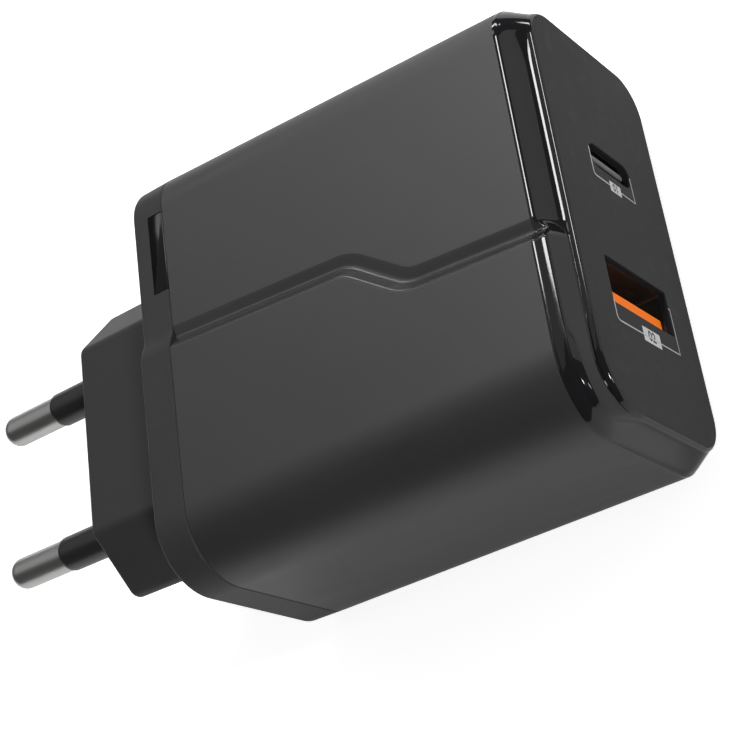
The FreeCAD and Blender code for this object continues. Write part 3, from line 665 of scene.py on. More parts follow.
def shellRing(x, inset):
    shrink = bandInset(x)
    half = halfWidth(x) - shrink - inset
    small = body["corner"] - shrink - inset
    large = body["nearCorner"] - shrink - inset
    tops, farHigh, nearHigh, apart = waveTops(x, half, small, large, inset)
    fill = max(shrink - skirtInset(x), 0.0)
    # the proud half's corner only starts to fill out below its edge
    nearFill = fill * smoothStep(xEdge + band["fillStart"], xEdge + band["fillEnd"], x)
    ring = bodyRing(half, shrink + inset, small, large, farHigh, nearHigh, tops, fill, band["lead"], nearFill)
    start = ring.index(tops[0])
    marks = [farAway] * len(ring)
    marks[start:start + len(apart)] = apart
    return ring, marks


def shellStations():
    # Close together along the wave, and closer still over the band's edge and foot
    waveStart, waveEnd = xSeam + groove["waveStart"], xSeam + groove["waveEnd"]
    finished = xEdge + band["finishRun"]
    runs = [(xSeam + 2, waveStart, 9), (waveStart, waveEnd, 48), (waveEnd, xEdge - 1.6, 5),
            (xEdge - 0.98, xEdge - 0.05, 13), (xEdge - 0.02, finished + 0.02, 8),
            (finished + 0.08, xEdge + 0.9, 12), (xEdge + 0.97, xCap - 0.27, 22), (xCap - 0.23, xCap, 8)]
    places = [xSeam, xSeam + body["seamChamfer"], xSeam + 0.3, xSeam + 0.8]
    for run in runs:
        places += [x for x in spread(*run) if x > places[-1] + 0.01]
    return places


# Housing shell

opening = {"sideMargin": 3.1, "endMargin": 2.0, "corner": 1.5}
rib = {"start": 4, "inwards": 1.0, "half": 0.8, "below": 1.2, "sunk": 0.05}


def openingRing(clearance):
    # The window in the shell's front wall, wide enough for both ports
    largeLow, largeHigh = nodeBox("usb_a_shell")
    reach = max(-largeLow.y, nodeBox("usb_c_shell")[1].y) + body["play"]
    width = 2 * (reach + opening["sideMargin"] - clearance)
    depth = largeHigh.z - largeLow.z + 2 * (body["play"] + opening["endMargin"] - clearance)
    return roundedRing(0, (largeLow.z + largeHigh.z) / 2, width, depth, opening["corner"] - clearance)


def addBar(skin, low, high):
    # A plain closed bar along X
    outline = [(high.y, low.z), (high.y, high.z), (low.y, high.z), (low.y, low.z)]
    fillTube(skin, [addRing(skin, x, outline) for x in (low.x, high.x)])


def makeHousingShell():
    skin = newSkin()
    rings = []
    for x in shellStations():
        outline, marks = shellRing(x, max(0.0, body["seamChamfer"] - (x - xSeam)))
        rings.append(addRing(skin, x, outline))
        if len(rings) > 1:
            onBand = x > xEdge - band["glossEdge"]
            # index 2 is the groove's satin finish, whose lifted colour carries painted reflection
            gloss = [1 if onBand else 2 if abs(mark) < groove["glossSide"] else 0 for mark in marks]
            bridge(skin, rings[-2], rings[-1], gloss)
    front, back = (addRing(skin, x, openingRing(0)) for x in (xCap, xWall))
    plate(skin, rings[-1], 1, [front], finish=1)
    bridge(skin, front, back)
    inner, rear = (addRing(skin, x, cavityRing(x, 0)) for x in (xWall, xSeam))
    plate(skin, inner, -1, [back])
    bridge(skin, inner, rear)
    plate(skin, rings[0], -1, [rear])
    board = nodeBox("main_board")[1]
    for side in (-1, 1):
        middle = side * (board.y - rib["inwards"])
        low = Vector((xSeam + rib["start"], middle - rib["half"], body["wall"] - rib["sunk"]))
        addBar(skin, low, Vector((xWall + rib["sunk"], middle + rib["half"], board.z - rib["below"])))
    finishes = [paint["matteShell"], paint["glossBand"], paint["grooveSatinPaintedReflection"]]
    makePiece("housingShell", skin, finishes, "housing_shell")


makeHousingShell()
print("housing shell made")


# Front panel, a cap over the band with a spigot through the shell's window

panel = {"inset": 1.65, "corner": (3.65, 4.3), "nearCorner": (6.05, 6.6), "edge": 0.3, "edgeSteps": 8,
         "sideSteps": 4, "glossStop": 0.02, "parting": 0.03, "inkRoom": 0.02, "mouthEdge": 0.12,
         "mouthSteps": 4, "mouthCorner": 0.3, "mouthWall": 0.3, "smallMouthWall": 0.25, "pocketCorner": 0.05}
printFace = xFront - panel["inkRoom"]


def panelRing(inset, share):
    # share runs from 0 at the foot, where the corners carry on the band's skirt, to 1 at the face
    small, large = (mix(*panel[key], share) + panel["inset"] - inset for key in ("corner", "nearCorner"))
    return plainRing(halfWidth(xEdge) - inset, inset, panelTop - inset, small, large)


def mouthRings(skin, x, grow):
    # The mouths carry on the insides of the two metal shells
    outlines = (sectionRing("usb_a_shell", grow - panel["mouthWall"], panel["mouthCorner"] + grow),
                sectionRing("usb_c_shell", grow - panel["smallMouthWall"]))
    return [addRing(skin, x, outline) for outline in outlines]


def makeFrontPanel():
    skin = newSkin()
    base = xCap + panel["parting"]
    face = printFace
    edge, mouthEdge = panel["edge"], panel["mouthEdge"]
    foot = addRing(skin, base, panelRing(panel["inset"], 0.0))
    ring = foot
    places = [(x, 0.0) for x in spread(base, face - edge, panel["sideSteps"] + 1)[1:]]
    places += [(face - edge + edge * sine, edge * (1 - cosine))
               for sine, cosine in quarterTurn(panel["edgeSteps"])]
    places.append((face, edge + meshing["guard"]))
    for x, inset in places:
        after = addRing(skin, x, panelRing(panel["inset"] + inset, (x - base) / (face - base)))
        bridge(skin, ring, after, int(x < face - panel["glossStop"]))
        ring = after
    wide = mouthRings(skin, face, mouthEdge + meshing["rimGuard"])
    plate(skin, ring, 1, wide)
    levels = [(face - mouthEdge * (1 - cosine), mouthEdge * (1 - sine))
              for sine, cosine in quarterTurn(panel["mouthSteps"])]
    mouths = [wide] + [mouthRings(skin, x, grow) for x, grow in levels] + [mouthRings(skin, xCap, 0)]
    pockets = []
    corners = (("usb_a_shell", panel["pocketCorner"]), ("usb_c_shell", None))
    for (node, corner), *rims in zip(corners, *mouths):
        bridgeAll(skin, rims)
        ledge, end = (addRing(skin, x, sectionRing(node, body["play"], corner)) for x in (xCap, xWall))
        plate(skin, ledge, -1, [rims[-1]])
        bridge(skin, ledge, end)
        pockets.append(end)
    neck, back = (addRing(skin, x, openingRing(body["play"])) for x in (base, xWall))
    plate(skin, foot, -1, [neck])
    bridge(skin, back, neck)
    plate(skin, back, -1, pockets)
    makePiece("frontPanel", skin, [paint["satinPanel"], paint["glossBand"]], "front_panel")


makeFrontPanel()
print("front panel made")


# Rear cover: collar against the seam, plug block, and the spigot inside the shell

collar = {"length": 4.6, "edge": 0.6, "edgeSteps": 8, "edgeLead": 0.05, "wall": 1.8, "parting": 0.04,
          "slotGap": 0.05, "slotDepth": 1.25, "rampHalf": 1.45, "rampReach": 1.7, "rampSteps": 21}
plug = {"half": 19.2, "flat": 23.7, "depth": 13.4, "corner": 1.6, "innerCorner": 0.2, "edge": 0.7,
        "root": 0.35, "wall": 1.8, "endWall": 4.0, "spigotWall": 1.2, "socketDepth": 2.0,
        "socketPlay": 0.05, "socketEdge": 0.08, "sleeveWall": 0.5, "cornerSteps": 8, "roundSteps": 8,
        "rootSteps": 5, "straight": (3, -2), "straightSteps": 5}
xCollar = xSeam - collar["length"]


def collarRing(inset, drop):
    # The outline at the seam, with a soft ramp in place of the groove and a slot for the window
    half = body["width"] / 2 - inset
    small = body["corner"] - inset
    large = body["nearCorner"] - inset
    farHigh, nearHigh = lowLevel - inset, body["height"] - inset
    low, high = windowLow.y - collar["slotGap"], windowHigh.y + collar["slotGap"]
    reach, middle = collar["rampReach"], groove["y"]
    tops = flatPoints((half - small, farHigh), (high, farHigh), 1)
    tops += [(high, farHigh), (high, farHigh - drop)]
    tops += flatPoints((high, farHigh - drop), (low, farHigh - drop))
    tops += [(low, farHigh - drop), (low, farHigh)]
    tops += flatPoints((low, farHigh), (middle + reach, farHigh))
    for apart in spread(reach, -reach, collar["rampSteps"]):
        rise = 1 - smoothStep(-collar["rampHalf"], collar["rampHalf"], apart)
        tops.append((middle + apart, lowLevel + body["step"] * rise - inset))
    tops += flatPoints((middle - reach, nearHigh), (-half + large, nearHigh), 5)
    return bodyRing(half, inset, small, large, farHigh, nearHigh, tops)


def plugRing(inset, radius):
    # An elongated hexagon, its corners rounded
    rise = plug["depth"] / 2
    run = plug["half"] - plug["flat"] / 2
    slant = math.hypot(run, rise)
    half = plug["half"] - inset * slant / rise
    flat = plug["flat"] / 2 - inset * (slant - run) / rise
    rise -= inset
    spots = [(flat, -rise), (half, 0), (flat, rise), (-flat, rise), (-half, 0), (-flat, -rise)]
    spots = [Vector((y, plugMiddle + z)) for y, z in spots]
    steps = plug["cornerSteps"]
    arcs = []
    for k, spot in enumerate(spots):
        arrive = (spot - spots[k - 1]).normalized()
        turn = arrive.angle((spots[(k + 1) % 6] - spot).normalized())
        centre = spot - arrive * (radius * math.tan(turn / 2)) + radius * Vector((-arrive.y, arrive.x))
        start = math.atan2(-arrive.x, arrive.y)
        turns = [start + turn * n / steps for n in range(steps + 1)]
        arcs.append([centre + radius * Vector((math.cos(t), math.sin(t))) for t in turns])
    ring = []
    for k, arc in enumerate(arcs):
        ring += [tuple(p) for p in arc] + flatPoints(arc[-1], arcs[(k + 1) % 6][0])
    return ring


def addPlugBlock(skin):
    # From the small root against the collar to the rounded end with its two sockets, and the hollow inside
    edge, root, guard = plug["edge"], plug["root"], meshing["guard"]
    floor, endWall = xPlug + plug["socketDepth"], xPlug + plug["endWall"]
    first, last = plug["straight"]
    ends = [(xPlug + edge * (1 - cosine), edge * (1 - sine))
            for sine, cosine in quarterTurn(plug["roundSteps"])]
    ends.append((xPlug + edge + meshing["edgeLead"], 0.0))
    ends += [(x, 0.0) for x in spread(xPlug + first, xCollar + last, plug["straightSteps"])]
    ends += [(xCollar - root + root * sine, -root * (1 - cosine))
             for sine, cosine in quarterTurn(plug["rootSteps"])]
    ends.append((xCollar, -root - guard))
    rims = [addRing(skin, x, plugRing(inset, plug["corner"] - max(inset, 0.0))) for x, inset in ends]
    flatEnd = addRing(skin, xPlug, plugRing(edge + guard, plug["corner"] - edge - guard))
    bridgeAll(skin, [flatEnd] + rims)
    # each socket steps down to a core bore behind the sleeve
    socket = sleeveRadius + plug["socketPlay"]
    core, lip = socket - plug["sleeveWall"], plug["socketEdge"]
    steps = [(endWall, core), (floor, core), (floor, socket), (xPlug + lip, socket), (xPlug, socket + lip),
             (xPlug, socket + lip + meshing["rimGuard"])]
    holes = []
    for y in (-pinY, pinY):
        holes.append([addRing(skin, x, circleRing(y, plugMiddle, radius)) for x, radius in steps])
        bridgeAll(skin, holes[-1])
    plate(skin, flatEnd, -1, [hole[-1] for hole in holes])
    hollow = plugRing(plug["wall"], plug["innerCorner"])
    chamber, chamberEnd = (addRing(skin, x, hollow) for x in (xCollar + collar["wall"], endWall))
    plate(skin, chamberEnd, 1, [hole[0] for hole in holes])
    bridge(skin, chamber, chamberEnd)
    return rims[-1], chamber


def makeRearCover():
    skin = newSkin()
    edge, chamfer, slot = collar["edge"], body["seamChamfer"], collar["slotDepth"]
    seamEnd = xSeam - collar["parting"]
    slotStart = windowLow.x - collar["slotGap"]
    places = [(xCollar, edge + meshing["guard"], 0)]
    places += [(xCollar + edge * (1 - cosine), edge * (1 - sine), 0)
               for sine, cosine in quarterTurn(collar["edgeSteps"])]
    places += [(xCollar + edge + collar["edgeLead"], 0, 0), (slotStart, 0, 0), (slotStart, 0, slot),
               (seamEnd - chamfer, 0, slot), (seamEnd, chamfer, slot - chamfer)]
    rings = [addRing(skin, x, collarRing(inset, drop)) for x, inset, drop in places]
    bridgeAll(skin, rings)
    root, chamber = addPlugBlock(skin)
    plate(skin, rings[0], -1, [root])
    # hollow of the collar, and the spigot's two sides
    inside = body["play"] + plug["spigotWall"]
    outlines = [(xCollar + collar["wall"], xSeam, inside), (xSeam, xSeam, inside), (xSpigot, xSpigot, inside),
                (xSpigot, xSpigot, body["play"]), (seamEnd, xSeam, body["play"])]
    base, middle, tip, outerTip, outerBase = (
        addRing(skin, x, cavityRing(shape, inset)) for x, shape, inset in outlines)
    plate(skin, base, 1, [chamber])
    bridgeAll(skin, [tip, middle, base])
    plate(skin, outerTip, 1, [tip])
    bridge(skin, outerBase, outerTip)
    plate(skin, rings[-1], 1, [outerBase])
    makePiece("rearCover", skin, [paint["coverPlastic"]], "rear_cover")


makeRearCover()
print("rear cover made")


# Plug pins and their sleeves, turned about their own axes

pin = {"radius": 2.0, "nose": 1.5, "noseSteps": 12, "bare": 9.2, "steps": 96, "flange": 1.2,
       "flangeThickness": 1.0, "tail": 3.4, "tailChamfer": 0.3, "play": 0.05}
sleeve = {"start": 2.02, "startChamfer": (0.03, 0.05), "taper": 0.4, "straightEnd": 0.5}


def makePin(name, node, y):
    skin = newSkin()
    radius, nose = pin["radius"], pin["nose"]
    core = sleeveRadius - plug["sleeveWall"] - pin["play"]
    flange = core + pin["flange"]
    tip = radius - nose
    shoulder = xPlug + plug["endWall"]
    bareEnd, flangeEnd, tail = xTip + pin["bare"], shoulder + pin["flangeThickness"], shoulder + pin["tail"]
    lead = meshing["edgeLead"]
    profile = [(xTip, 0), (xTip, tip - meshing["guard"])]
    profile += [(xTip + nose * (1 - cosine), tip + nose * sine)
                for sine, cosine in quarterTurn(pin["noseSteps"])]
    profile += [(xTip + nose + lead, radius), (bareEnd - lead, radius), (bareEnd, radius), (bareEnd, core),
                (shoulder, core), (shoulder, flange), (flangeEnd, flange), (flangeEnd, core),
                (tail - pin["tailChamfer"], core), (tail, core - pin["tailChamfer"]), (tail, 0)]
    lathe(skin, (y, plugMiddle), profile, pin["steps"])
    makePiece(name, skin, [paint["pinNickel"]], node)


def makeSleeve(name, node, y):
    skin = newSkin()
    inner = sleeveRadius - plug["sleeveWall"]
    start, end = xTip + pin["bare"], xPlug + plug["socketDepth"]
    full = start + sleeve["taper"]
    run, drop = sleeve["startChamfer"]
    profile = [(start, inner), (start, sleeve["start"] - drop), (start + run, sleeve["start"]),
               (full, sleeveRadius), (full + meshing["edgeLead"], sleeveRadius),
               (xPlug - sleeve["straightEnd"], sleeveRadius), (end, sleeveRadius), (end, inner)]
    lathe(skin, (y, plugMiddle), profile, pin["steps"], closed=True)
    makePiece(name, skin, [paint["sleevePlastic"]], node)


makePin("linePin", "line_pin", pinY)
makePin("neutralPin", "neutral_pin", -pinY)
makeSleeve("linePinSleeve", "line_pin_sleeve", pinY)
makeSleeve("neutralPinSleeve", "neutral_pin_sleeve", -pinY)
print("pins and sleeves made")


# Indicator window: a smoked plate beside the seam with a light pipe under it

window = {"thickness": 1.2, "bevel": 0.1, "topBevel": 0.3, "corner": 0.15, "pipe": 0.75, "pipeChamfer": 0.1,
          "pipeSunk": 0.2, "pipeSteps": 32}


def makeIndicatorWindow():
    skin = newSkin()
    low, high = windowLow, windowHigh
    bevel, pipe, chamfer = window["bevel"], window["pipe"], window["pipeChamfer"]
    top, base, foot = high.z, high.z - window["thickness"], low.z
    levels = [(base, bevel), (base + bevel, 0.0), (top - bevel, 0.0),
              (top - bevel * window["topBevel"], bevel * window["topBevel"]), (top, bevel)]
    rings = []
    for z, inset in levels:
        outline = roundedRing((low.x + high.x) / 2, (low.y + high.y) / 2, high.x - low.x - 2 * inset,
                              high.y - low.y - 2 * inset, window["corner"], 4)
        rings.append(addPoints(skin, [(x, y, z) for x, y in outline]))
    bridgeAll(skin, rings)
    addFace(skin, rings[-1])
    addFace(skin, rings[0][::-1])
    ledLow, ledHigh = nodeBox("indicator_led")
    sunk = base + window["pipeSunk"]
    lathe(skin, ((ledLow.x + ledHigh.x) / 2, (ledLow.y + ledHigh.y) / 2),
          [(foot, 0), (foot, pipe - chamfer), (foot + chamfer, pipe), (sunk, pipe), (sunk, 0)],
          window["pipeSteps"], upright=True)
    makePiece("indicatorWindow", skin, [paint["smokedWindow"]], "indicator_window")


makeIndicatorWindow()
print("indicator window made")


# Ports: rolled metal shells and their tongues

port = {"wall": 0.3, "lip": 0.006, "corner": (0.55, 0.28), "cornerSteps": 6, "roundSteps": 12, "play": 0.05,
        "tongueRoot": 0.2, "tipCorner": 0.6}
# base is the block at the tongue's back, and offset its height over the lower wall, or None for the middle
tongues = {
    "largePortTongue": {
        "shell": "usb_a_shell", "node": "usb_a_tongue", "paint": "orangePlastic", "slot": "orange_plastic",
        "width": 11.3, "thickness": 1.68, "offset": 0.4, "recess": 0.15, "corner": 0.12, "tip": 0.14,
        "base": {"length": 2.6, "corner": 0.2, "tip": 0.15, "steps": 5}},
    "smallPortTongue": {
        "shell": "usb_c_shell", "node": "usb_c_tongue", "paint": "blackTongue", "slot": "port_black",
        "width": 6.69, "thickness": 0.7, "offset": None, "recess": -0.25, "corner": 0.2, "tip": 0.12,
        "base": {"length": 5.6, "corner": None, "tip": 0.1, "steps": 12}},
}
spring = {"rows": (-3.1, 3.1), "start": 8.5, "end": 1.6, "width": 2.6, "taper": 0.25, "push": 0.45,
          "thickness": 0.14, "steps": 8}


def addSpringTab(skin, x0, x1, y, z):
    # A spring finger pressed inwards from the +Y wall, a shallow arch along X that narrows towards the mouth
    rows = []
    for k in range(spring["steps"] + 1):
        t = k / spring["steps"]
        lift = -spring["push"] * math.sin(math.pi * t)
        half = spring["width"] / 2 * (1 - spring["taper"] * t)
        rows.append(addPoints(skin, [(mix(x0, x1, t), y + deep, z + side * half)
                                     for side in (-1, 1) for deep in (lift, lift + spring["thickness"])]))
    for before, after in zip(rows, rows[1:]):
        for a, b in ((0, 2), (2, 3), (3, 1), (1, 0)):
            addFace(skin, (before[a], before[b], after[b], after[a]))
    first, last = rows[0], rows[-1]
    addFace(skin, (first[0], first[1], first[3], first[2]))
    addFace(skin, (last[0], last[2], last[3], last[1]))


def makePortShell(name, node, material, corners, steps):
    # A closed tube with a rounded front edge; corners are its outer and inner radius, or None for round ends
    skin = newSkin()
    low, high = nodeBox(node)
    lip = port["lip"]

    def tube(x, grow, radius):
        return addRing(skin, x, sectionRing(node, grow, radius, steps))

    def rim(x, inset):
        return (tube(x, -inset, corners and corners[0] - inset),
                tube(x, inset - port["wall"], corners and corners[1] + inset))

    sides = [rim(low.x, 0), rim(high.x - lip, 0), rim(high.x, lip)]
    outer, inner = zip(*sides)
    bridgeAll(skin, [*outer, *inner[::-1], outer[0]])
    if node == "usb_a_shell":
        middle = section(node)[1]
        start, end = high.x - spring["start"], high.x - spring["end"]
        for row in spring["rows"]:
            addSpringTab(skin, start, end, high.y - port["wall"], middle + row)
    makePiece(name, skin, [paint[material]], node)


def addBlade(skin, x0, x1, y, z, width, depth, corner, tip, steps):
    # A flat bar with rounded long edges and a chamfered tip
    side = roundedRing(y, z, width, depth, corner, steps)
    end = roundedRing(y, z, width - 2 * tip, depth - 2 * tip, corner * port["tipCorner"], steps)
    fillTube(skin, [addRing(skin, x, outline) for x, outline in ((x0, side), (x1 - tip, side), (x1, end))])


def makeTongue(name, shape):
    low, high = nodeBox(shape["shell"])
    y, z, width, depth = section(shape["shell"])
    gap = 2 * (port["wall"] + port["play"])
    base, thickness = shape["base"], shape["thickness"]
    back = low.x + base["length"]
    corner = base["corner"] or (width - gap) / 2 - meshing["roundEnd"]
    skin = newSkin()
    addBlade(skin, low.x, back, y, z, width - gap, depth - gap, corner, base["tip"], base["steps"])
    if shape["offset"]:
        y = low.y + port["wall"] + shape["offset"] + thickness / 2
    addBlade(skin, back - port["tongueRoot"], high.x - shape["recess"], y, z, thickness, shape["width"],
             shape["corner"], shape["tip"], 5)
    makePiece(name, skin, [paint[shape["paint"]]], shape["node"])


makePortShell("largePortShell", "usb_a_shell", "portSteel", port["corner"], port["cornerSteps"])
makePortShell("smallPortShell", "usb_c_shell", "smallPortSteel", None, port["roundSteps"])
for tongueName, tongueShape in tongues.items():
    makeTongue(tongueName, tongueShape)
print("ports made")


# Contacts, repeated across each tongue by Geometry Nodes

# Each row has a count, a pitch and the direction of Y that it faces
contacts = {
    "largePortContacts": {"node": "usb_a_contacts", "width": 1.0, "thickness": 0.25,
                          "rows": [(2, 7.0, 1), (2, 2.0, 1)]},
    "smallPortContacts": {"node": "usb_c_contacts", "width": 0.25, "thickness": 0.1,
                          "rows": [(12, 0.5, -1), (12, 0.5, 1)]},
}
blade = {"steps": (24, 2, 4), "noseStart": 0.40, "noseRate": 10.0, "noseDip": 0.6, "crownPower": 4.0}


def newGeometryTree(name, inputs):
    return newTree(name, "GeometryNodeTree", inputs, {"Geometry": "Geometry"})


def growMesh(name, tree, values):
    # Runs a tree on a helper object and returns the result as a plain mesh
    helper = addObject(name + "Helper", bpy.data.meshes.new(name + "Helper"))
    modifier = helper.modifiers.new(name, "NODES")
    modifier.node_group = tree
    for socket in tree.interface.items_tree:
        if socket.in_out == "INPUT":
            modifier[socket.identifier] = values[socket.name]
    mesh = takeMesh(helper)
    mesh.name = name
    return mesh


def finishTree(tree, last, shape, material):
    real = addNode(tree, "GeometryNodeRealizeInstances", {"Geometry": shape})
    painted = addNode(tree, "GeometryNodeSetMaterial", {"Geometry": real.outputs[0], "Material": material})
    tree.links.new(painted.outputs[0], last.inputs[0])
    return tree


def makeContactTree():
    # One spring blade, a thin bar with a rounded nose, repeated in a row along Z
    tree, given, result = newGeometryTree("contactRow", {
        "Count": ("Int", 4), "Pitch": ("Float", 0.002), "Start": ("Vector", None), "Length": ("Float", 0.01),
        "Width": ("Float", 0.001), "Thickness": ("Float", 0.00025), "Finish": ("Material", None)})
    step = addNode(tree, "ShaderNodeCombineXYZ", {"Z": given["Pitch"]})
    row = addNode(tree, "GeometryNodeMeshLine", {
        "Count": given["Count"], "Start Location": given["Start"], "Offset": step.outputs[0]}, mode="OFFSET")
    size = addNode(tree, "ShaderNodeCombineXYZ", {
        "X": given["Length"], "Y": given["Thickness"], "Z": given["Width"]})
    stepsX, stepsY, stepsZ = blade["steps"]
    bar = addNode(tree, "GeometryNodeMeshCube", {
        "Size": size.outputs[0], "Vertices X": stepsX, "Vertices Y": stepsY, "Vertices Z": stepsZ})
    place = addNode(tree, "GeometryNodeInputPosition", {})
    parts = addNode(tree, "ShaderNodeSeparateXYZ", {0: place.outputs[0]}).outputs
    along = maths(tree, "DIVIDE", parts["X"], given["Length"])
    past = maths(tree, "SUBTRACT", along, blade["noseStart"])
    nose = maths(tree, "MULTIPLY", past, blade["noseRate"], clamp=True)
    dip = maths(tree, "MULTIPLY", maths(tree, "POWER", nose, 2.0), given["Thickness"])
    across = maths(tree, "ABSOLUTE", maths(tree, "DIVIDE", parts["Z"], given["Width"]))
    crown = maths(tree, "MULTIPLY", maths(tree, "POWER", across, blade["crownPower"]), given["Thickness"])
    total = maths(tree, "ADD", maths(tree, "MULTIPLY", dip, blade["noseDip"]), crown)
    lower = maths(tree, "MULTIPLY", total, -1.0)
    top = maths(tree, "GREATER_THAN", parts["Y"], 0.0)
    shift = addNode(tree, "ShaderNodeCombineXYZ", {"Y": maths(tree, "MULTIPLY", lower, top)})
    bent = addNode(tree, "GeometryNodeSetPosition", {
        "Geometry": bar.outputs["Mesh"], "Offset": shift.outputs[0]})
    copies = addNode(tree, "GeometryNodeInstanceOnPoints", {
        "Points": row.outputs[0], "Instance": bent.outputs[0]})
    return finishTree(tree, result, copies.outputs[0], given["Finish"])


def contactRow(tree, shape, count, pitch, side):
    low, high = nodeBox(shape["node"])
    thickness = shape["thickness"]
    face = high.y if side > 0 else low.y
    start = Vector(((low.x + high.x) / 2, face - side * thickness / 2,
                    (low.z + high.z) / 2 - pitch * (count - 1) / 2))
    mesh = growMesh("contactRow", tree, {
        "Count": count, "Pitch": pitch * mm, "Start": tuple(start * mm), "Length": (high.x - low.x) * mm,
        "Width": shape["width"] * mm, "Thickness": thickness * mm, "Finish": paint["contactGold"]})
    if side < 0:
        turned = Matrix.Translation((0, start.y * mm, 0)) @ Matrix.Scale(-1, 4, (0, 1, 0))
        mesh.transform(turned @ Matrix.Translation((0, -start.y * mm, 0)))
        mesh.flip_normals()
    return mesh


def makeContacts():
    tree = makeContactTree()
    for name, shape in contacts.items():
        rows = [contactRow(tree, shape, *row) for row in shape["rows"]]
        joined = bmesh.new()
        for row in rows:
            joined.from_mesh(row)
        mesh = bpy.data.meshes.new(name)
        joined.to_mesh(mesh)
        joined.free()
        for material in rows[0].materials:
            mesh.materials.append(material)
        smoothMesh(mesh, meshing["contactSharp"])
        placePiece(name, mesh, shape["node"])


makeContacts()
print("contacts made")


# Printed marks on the front panel: a bracket under each port and a numeral box on it

ink = {"width": 0.17, "thickness": 0.016, "lift": 0.001, "boxThickness": 0.012, "boxCorner": 0.08,
       "numeralLift": 0.014, "numeralHalf": 0.002, "numeralWeight": 0.05}
brackets = {
    "largePortBracket": {
        "path": [(-10.3, 19.54), (-12.5, 19.54), (-12.4, 6.65), (-7.22, 6.63), (-7.22, 6.95)],
        "corners": (0.0, 0.55, 0.0, 0.0, 0.0)},
    "smallPortBracket": {
        "path": [(7.98, 17.45), (4.67, 17.48), (4.52, 8.96), (7.58, 9.02)],
        "corners": (0.0, 0.45, 0.0, 0.0)},
}
labels = {
    "largePortLabel": {"low": (-13.1, 10.8), "high": (-11.5, 14.4), "numeral": "02", "size": 1.55},
    "smallPortLabel": {"low": (4.0, 12.0), "high": (5.2, 14.3), "numeral": "01", "size": 1.15},
}


def makeBracketTree():
    # Rounds the corners of a path on the panel and gives it the printed line's width and thickness
    tree, given, result = newGeometryTree("printedLine", {
        "Path": ("Object", None), "Width": ("Float", 0.0002), "Thickness": ("Float", 0.00002),
        "Finish": ("Material", None)})
    source = addNode(tree, "GeometryNodeObjectInfo", {"Object": given["Path"]})
    curve = addNode(tree, "GeometryNodeMeshToCurve", {"Mesh": source.outputs["Geometry"]})
    radius = addNode(tree, "GeometryNodeInputNamedAttribute", {"Name": "cornerRadius"}, data_type="FLOAT")
    rounded = addNode(tree, "GeometryNodeFilletCurve", {
        "Curve": curve.outputs[0], "Count": 8, "Radius": radius.outputs[0]}, mode="POLY")
    level = addNode(tree, "GeometryNodeSetCurveNormal", {
        "Curve": rounded.outputs[0], "Normal": (1.0, 0.0, 0.0)}, mode="FREE")
    profile = addNode(tree, "GeometryNodeCurvePrimitiveQuadrilateral", {
        "Width": given["Thickness"], "Height": given["Width"]})
    line = addNode(tree, "GeometryNodeCurveToMesh", {
        "Curve": level.outputs[0], "Profile Curve": profile.outputs[0], "Fill Caps": True})
    return finishTree(tree, result, line.outputs[0], given["Finish"])


def makeBrackets():
    tree = makeBracketTree()
    height = printFace + ink["lift"] + ink["thickness"] / 2
    for name, shape in brackets.items():
        guide = bpy.data.meshes.new(name + "Path")
        points = [Vector((height, y, z)) * mm for y, z in shape["path"]]
        guide.from_pydata(points, [(k, k + 1) for k in range(len(points) - 1)], [])
        radii = guide.attributes.new("cornerRadius", "FLOAT", "POINT")
        radii.data.foreach_set("value", [r * mm for r in shape["corners"]])
        path = addObject(name + "Path", guide)
        mesh = growMesh(name, tree, {"Path": path, "Width": ink["width"] * mm,
                                     "Thickness": ink["thickness"] * mm, "Finish": paint["lineInk"]})
        bpy.data.objects.remove(path)
        bpy.data.meshes.remove(guide)
        placePiece(name, mesh)


def makeLabels():
    for name, label in labels.items():
        (y0, z0), (y1, z1) = label["low"], label["high"]
        y, z = (y0 + y1) / 2, (z0 + z1) / 2
        skin = newSkin()
        outline = roundedRing(y, z, y1 - y0, z1 - z0, ink["boxCorner"], 3)
        fillTube(skin, [addRing(skin, printFace + lift, outline) for lift in (0, ink["boxThickness"])])
        makePiece(name, skin, [paint["boxInk"]])
        # the numeral reads towards -Z, with +Y up
        font = bpy.data.curves.new(name + "Numeral", "FONT")
        font.body = label["numeral"]
        font.size = label["size"] * mm
        font.align_x = font.align_y = "CENTER"
        font.extrude = ink["numeralHalf"] * mm
        font.offset = ink["numeralWeight"] * mm
        mesh = takeMesh(addObject(name + "Helper", font))
        height = printFace + ink["numeralLift"]
        mesh.transform(Matrix(((0, 0, 1, height * mm), (0, 1, 0, y * mm), (-1, 0, 0, z * mm), (0, 0, 0, 1))))
        mesh.materials.clear()
        mesh.materials.append(paint["numeralInk"])
        placePiece(name + "Numeral", mesh)


makeBrackets()
makeLabels()
print("printed marks made")


# Finishes of the parts inside, one recipe for each kind of surface; lines are wire, film or weave ridges,
# given as their axis, their size and how much they darken

